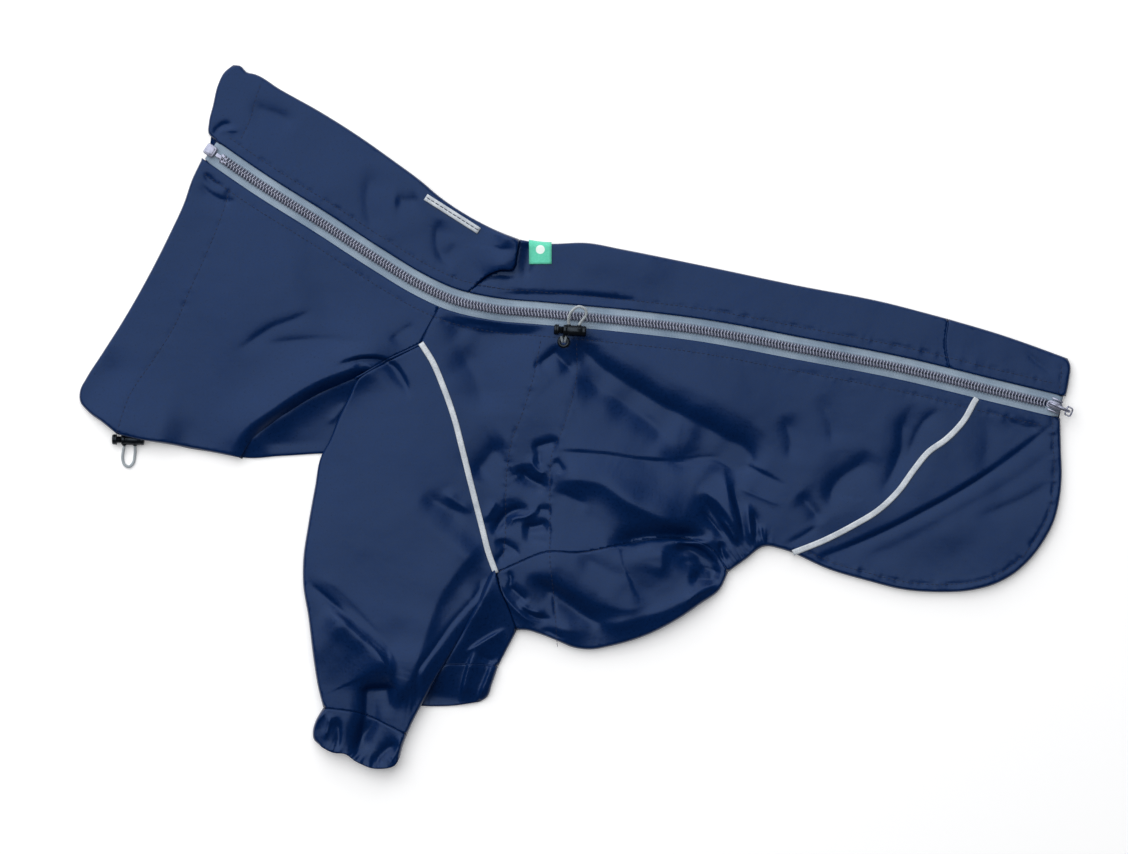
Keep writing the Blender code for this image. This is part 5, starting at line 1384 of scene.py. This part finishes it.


# ---- Cord locks and eyelet ----
# Barrel cord locks moulded in black nylon: a bored barrel and a sprung plunger with a ribbed head. The
# waist cord comes out through a black lacquered eyelet.

# Injection-moulded nylon, black: smooth and glossy, with a faint orange-peel.
moulded, tree, shader = finish_of("moulded nylon, black", "#07090d", 0.26, specular_ior_level=0.42)
shader.inputs["Specular Tint"].default_value = linear("#b9cbdd")
place = add(tree, "ShaderNodeTexCoord")
peel = add(tree, "ShaderNodeTexNoise", {"Vector": place.outputs["Object"], "Scale": 700.0, "Detail": 2.0})
rub = add(tree, "ShaderNodeMapRange", {"Value": peel.outputs["Fac"], "To Min": 0.2, "To Max": 0.4})
tree.links.new(rub.outputs[0], shader.inputs["Roughness"])
bumped(tree, shader, peel.outputs["Fac"], 0.03, 0.3)


def lathe(profile, sides=40):
    """(points, faces) of a piece turned about its own X. The profile is (distance along X, radius) rows
    that start and end on the axis, or close on themselves."""
    closed = profile[0][1] > 0
    points, faces, rows = [], [], []
    for x, radius in profile:
        rows.append((len(points), 1 if radius == 0 else sides))
        for turn in np.linspace(0, 2 * math.pi, rows[-1][1], endpoint=False):
            points.append((x, radius * math.cos(turn), radius * math.sin(turn)))
    for (a, na), (b, nb) in zip(rows, rows[1:] + rows[:1] if closed else rows[1:]):
        for k in range(sides):
            n = (k + 1) % sides
            quad = (a + k % na, a + n % na, b + n % nb, b + k % nb)
            faces.append(tuple(dict.fromkeys(quad)))
    return np.array(points), faces


def outward(part):
    """The part with its faces turned so that it holds a positive volume."""
    points, faces = part
    volume = sum(np.linalg.det(points[list((f[0], f[i], f[i + 1]))]) for f in faces for i in range(1, len(f) - 1))
    return points, faces if volume > 0 else [face[::-1] for face in faces]


def moved(part, where, heading=0.0, tilt=0.0):
    """The part turned by its tilt about Y and its heading about Z, then set down."""
    turn = np.array(Matrix.Rotation(heading, 3, "Z") @ Matrix.Rotation(tilt, 3, "Y"))
    return part[0] @ turn.T + np.array(where, float), part[1]


def slab(outline, low, high, edge=0.25):
    """(points, faces) of a plate with this outline, anticlockwise, whose rims are rounded by edge."""
    outline = np.array(outline, float)
    centre, count = outline.mean(0), len(outline)
    levels = (
        (low, 0.0), (low + 0.3 * edge, 0.7), (low + edge, 1.0),
        (high - edge, 1.0), (high - 0.3 * edge, 0.7), (high, 0.0),
    )
    away = np.linalg.norm(outline - centre, axis=1)[:, None]
    points = []
    for z, share in levels:
        ring = centre + (outline - centre) * (1 - (1 - share) * edge / away)
        points += [(*point, z) for point in ring]
    faces = [tuple(range(count))[::-1], tuple(range(len(points) - count, len(points)))]
    for i in range(len(levels) - 1):
        a, b = i * count, (i + 1) * count
        faces += [(a + k, a + (k + 1) % count, b + (k + 1) % count, b + k) for k in range(count)]
    return np.array(points), faces


def pill(x0, x1, half, corner, bend=5):
    """The outline of a rectangle with round corners, from x0 to x1 and half wide to each side."""
    found = []
    for cx, cy, start in ((x1, half, 0), (x0, half, 90), (x0, -half, 180), (x1, -half, 270)):
        for turn in np.radians(np.linspace(start, start + 90, bend)):
            inward_x = cx - corner if cx == x1 else cx + corner
            inward_y = cy - math.copysign(corner, cy)
            found.append((inward_x + corner * math.cos(turn), inward_y + corner * math.sin(turn)))
    return found


LOCK_RADIUS, LOCK_HEAD, LOCK_MOUTH, LOCK_END, BORE = 3.3, 3.0, 5.8, 20.0, 2.3
barrel = [
    (LOCK_MOUTH + 8, 0), (LOCK_MOUTH + 8, BORE), (LOCK_MOUTH, BORE), (LOCK_MOUTH, 2.9),
    (LOCK_MOUTH + 0.25, 3.2),
    (LOCK_MOUTH + 0.7, LOCK_RADIUS), (LOCK_MOUTH + 2.2, LOCK_RADIUS), (LOCK_MOUTH + 2.4, 3.05),
    (LOCK_MOUTH + 2.9, 3.05), (LOCK_MOUTH + 3.1, LOCK_RADIUS), (LOCK_END - 2.6, LOCK_RADIUS),
    (LOCK_END - 2.4, 3.1), (LOCK_END - 2.0, 3.1), (LOCK_END - 1.8, LOCK_RADIUS), (LOCK_END - 0.8, 3.25),
    (LOCK_END - 0.25, 2.9), (LOCK_END, 2.3), (LOCK_END, 1.2), (LOCK_END - 0.3, 0.9), (LOCK_END - 0.3, 0),
]
plunger = [
    (LOCK_MOUTH + 5.2, 0), (LOCK_MOUTH + 5.2, 2.0), (LOCK_HEAD + 0.2, 2.0), (LOCK_HEAD, 2.2), (LOCK_HEAD, 3.0),
    (LOCK_HEAD - 0.3, LOCK_RADIUS), (2.1, LOCK_RADIUS), (1.95, 3.1), (1.65, 3.1), (1.5, LOCK_RADIUS),
    (1.1, LOCK_RADIUS), (0.95, 3.1), (0.7, 3.1), (0.4, 3.05), (0.12, 2.7), (0, 2.2), (0.25, 1.6), (0.3, 0),
]
for where, head, heading, ends in (
    ("waist", WAIST_LOCK, -4, (LOOPS["waist"][0], LOOPS["waist"][-1])),
    ("neck", NECK_LOCK, -1, (LOOPS["neck"][0], LOOPS["neck"][-1])),
):
    heading = math.radians(heading)
    body = [moved(outward(lathe(barrel)), head, heading)]
    for end in ends:
        side = np.array((0, math.copysign(1, end[1] - head[1]), 0))
        body.append(rod([np.array(end) - side * 1.6, np.array(end) - side * 0.3], 1.35, 14))
    lock = object_of(f"{where}_lock_barrel", *joined(*body))
    fixed(lock, moulded, (f"{where}_lock",))
    knob = object_of(f"{where}_lock_knob", *moved(outward(lathe(plunger)), head, heading))
    fixed(knob, moulded, (f"{where}_plunger",), f"{where}_plunger")

EYE = (-7.0, 46.3)
EYE_HEIGHT = 8.1
washer = [
    (0.0, 1.9), (0.0, 3.9), (0.2, 3.9), (0.45, 3.75), (0.8, 3.4), (0.9, 2.9), (0.9, 2.5), (0.7, 2.1),
    (0.45, 1.9),
]
eyelet = object_of(
    "waist_eyelet_ring", *moved(outward(lathe(washer, 36)), (*EYE, EYE_HEIGHT), 0, math.radians(-90))
)
fixed(eyelet, moulded, ("waist_eyelet",))
strands = [
    rod(smooth(((EYE[0] + a, EYE[1] - 0.6, EYE_HEIGHT - 2.2), (EYE[0] + b, EYE[1] + 0.5, EYE_HEIGHT + 0.4),
                (EYE[0] + c, EYE[1] + 3.4, EYE_HEIGHT + 1.0)), 0.7), 0.8, 8)
    for a, b, c in ((-0.7, -0.9, -1.6), (0.7, 0.9, 1.5))
]
strand = object_of("waist_cord_strands", *joined(*strands))
fixed(strand, braid)


# ---- Zip ends and slider ----
# At the neck the coils start in a die-cast retainer box beside a pin; at the tail they end in the
# slider, two plates joined by a post, whose crown holds a wire loop as its pull.

# Die-cast zinc with a silvery lavender lacquer: soft reflections and fine casting grain.
diecast, tree, shader = finish_of("lacquered die-cast zinc", "#8a8da0", 0.3, 0.7)
place = add(tree, "ShaderNodeTexCoord")
grain = add(tree, "ShaderNodeTexNoise", {"Vector": place.outputs["Object"], "Scale": 600.0, "Detail": 4.0})
tint = add(
    tree, "ShaderNodeMix", {0: grain.outputs["Fac"], 6: linear("#6f7388"), 7: linear("#a4a7b9")}, data_type="RGBA"
)
tree.links.new(tint.outputs[2], shader.inputs["Base Color"])
bumped(tree, shader, grain.outputs["Fac"], 0.04, 0.3)


def zip_spot(at):
    """Where the zip has run this far, or this far from its end where at is negative: the point on the
    cloth's face and the heading."""
    i = round(at) if at >= 0 else len(zip_line) + round(at)
    run = zip_line[i + 1] - zip_line[i - 1]
    return (*zip_line[i], float(near_face(zip_line[i : i + 1])[0])), math.atan2(run[1], run[0])


spot, heading = zip_spot(BOX_AT)
low = 0.3 - TAPE_DROP
box = joined(
    slab(pill(-3.5, 3.5, 3.6, 1.3), low, low + 2.6, 0.6),
    slab(pill(-2.6, 2.2, 2.6, 0.9), low + 2.3, low + 3.0, 0.35),
)
retainer = object_of("zip_retainer_box", *moved(box, spot, heading))
fixed(retainer, diecast, ("zip_box",))
pin_parts = joined(
    slab(pill(4.1, 8.2, 1.3, 0.4), low, low + 1.7, 0.3),
    moved(slab(pill(-2.4, 2.4, 0.9, 0.6), low, low + 1.5, 0.3), (9.6, 1.2, 0), math.radians(-24)),
    moved(slab(pill(-2.2, 2.2, 0.8, 0.6), low, low + 1.4, 0.3), (10.4, -1.6, 0), math.radians(16)),
)
pin = object_of("zip_pin", *moved(pin_parts, spot, heading))
fixed(pin, diecast)

spot, heading = zip_spot(-SLIDER_AT)
heading += math.radians(-10)
shield = [
    (-5.0, 0.0), (-4.7, -1.6), (-3.6, -3.2), (-1.4, -4.1), (1.6, -4.1), (3.4, -3.5), (4.7, -2.2),
    (5.0, -1.2), (4.2, 0.0), (5.0, 1.2), (4.7, 2.2), (3.4, 3.5), (1.6, 4.1), (-1.4, 4.1), (-3.6, 3.2), (-4.7, 1.6),
]
bridge = rod(smooth(((-3.6, 0, 2.2), (-3.5, 0, 4.6), (-2.2, 0, 6.0), (2.0, 0, 6.3), (7.0, 0, 6.2), (9.2, 0, 5.2),
                     (9.4, 0, 3.2), (8.2, 0, 2.2), (5.6, 0, 2.4), (4.2, 0, 2.5)), 0.9), 0.95, 10)
body = joined(
    slab(shield, -3.8, -2.8, 0.25),
    slab([(x, 0.6 * y) for x, y in shield], 1.3, 2.7, 0.3),
    slab(pill(1.2, 4.0, 1.0, 0.5), -3.0, 1.6, 0.2),
    slab([(x, y + 3.7) for x, y in pill(-3.2, 4.0, 0.55, 0.4)], -0.2, 1.9, 0.15),
    slab([(x, y - 3.7) for x, y in pill(-3.2, 4.0, 0.55, 0.4)], -0.2, 1.9, 0.15),
    bridge,
)
slider = object_of("zip_slider_body", *moved(body, spot, heading))
fixed(slider, diecast, ("zip_slider",))
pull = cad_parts["zip_pull"]
for place_of in pull.material_slots:
    place_of.material = diecast
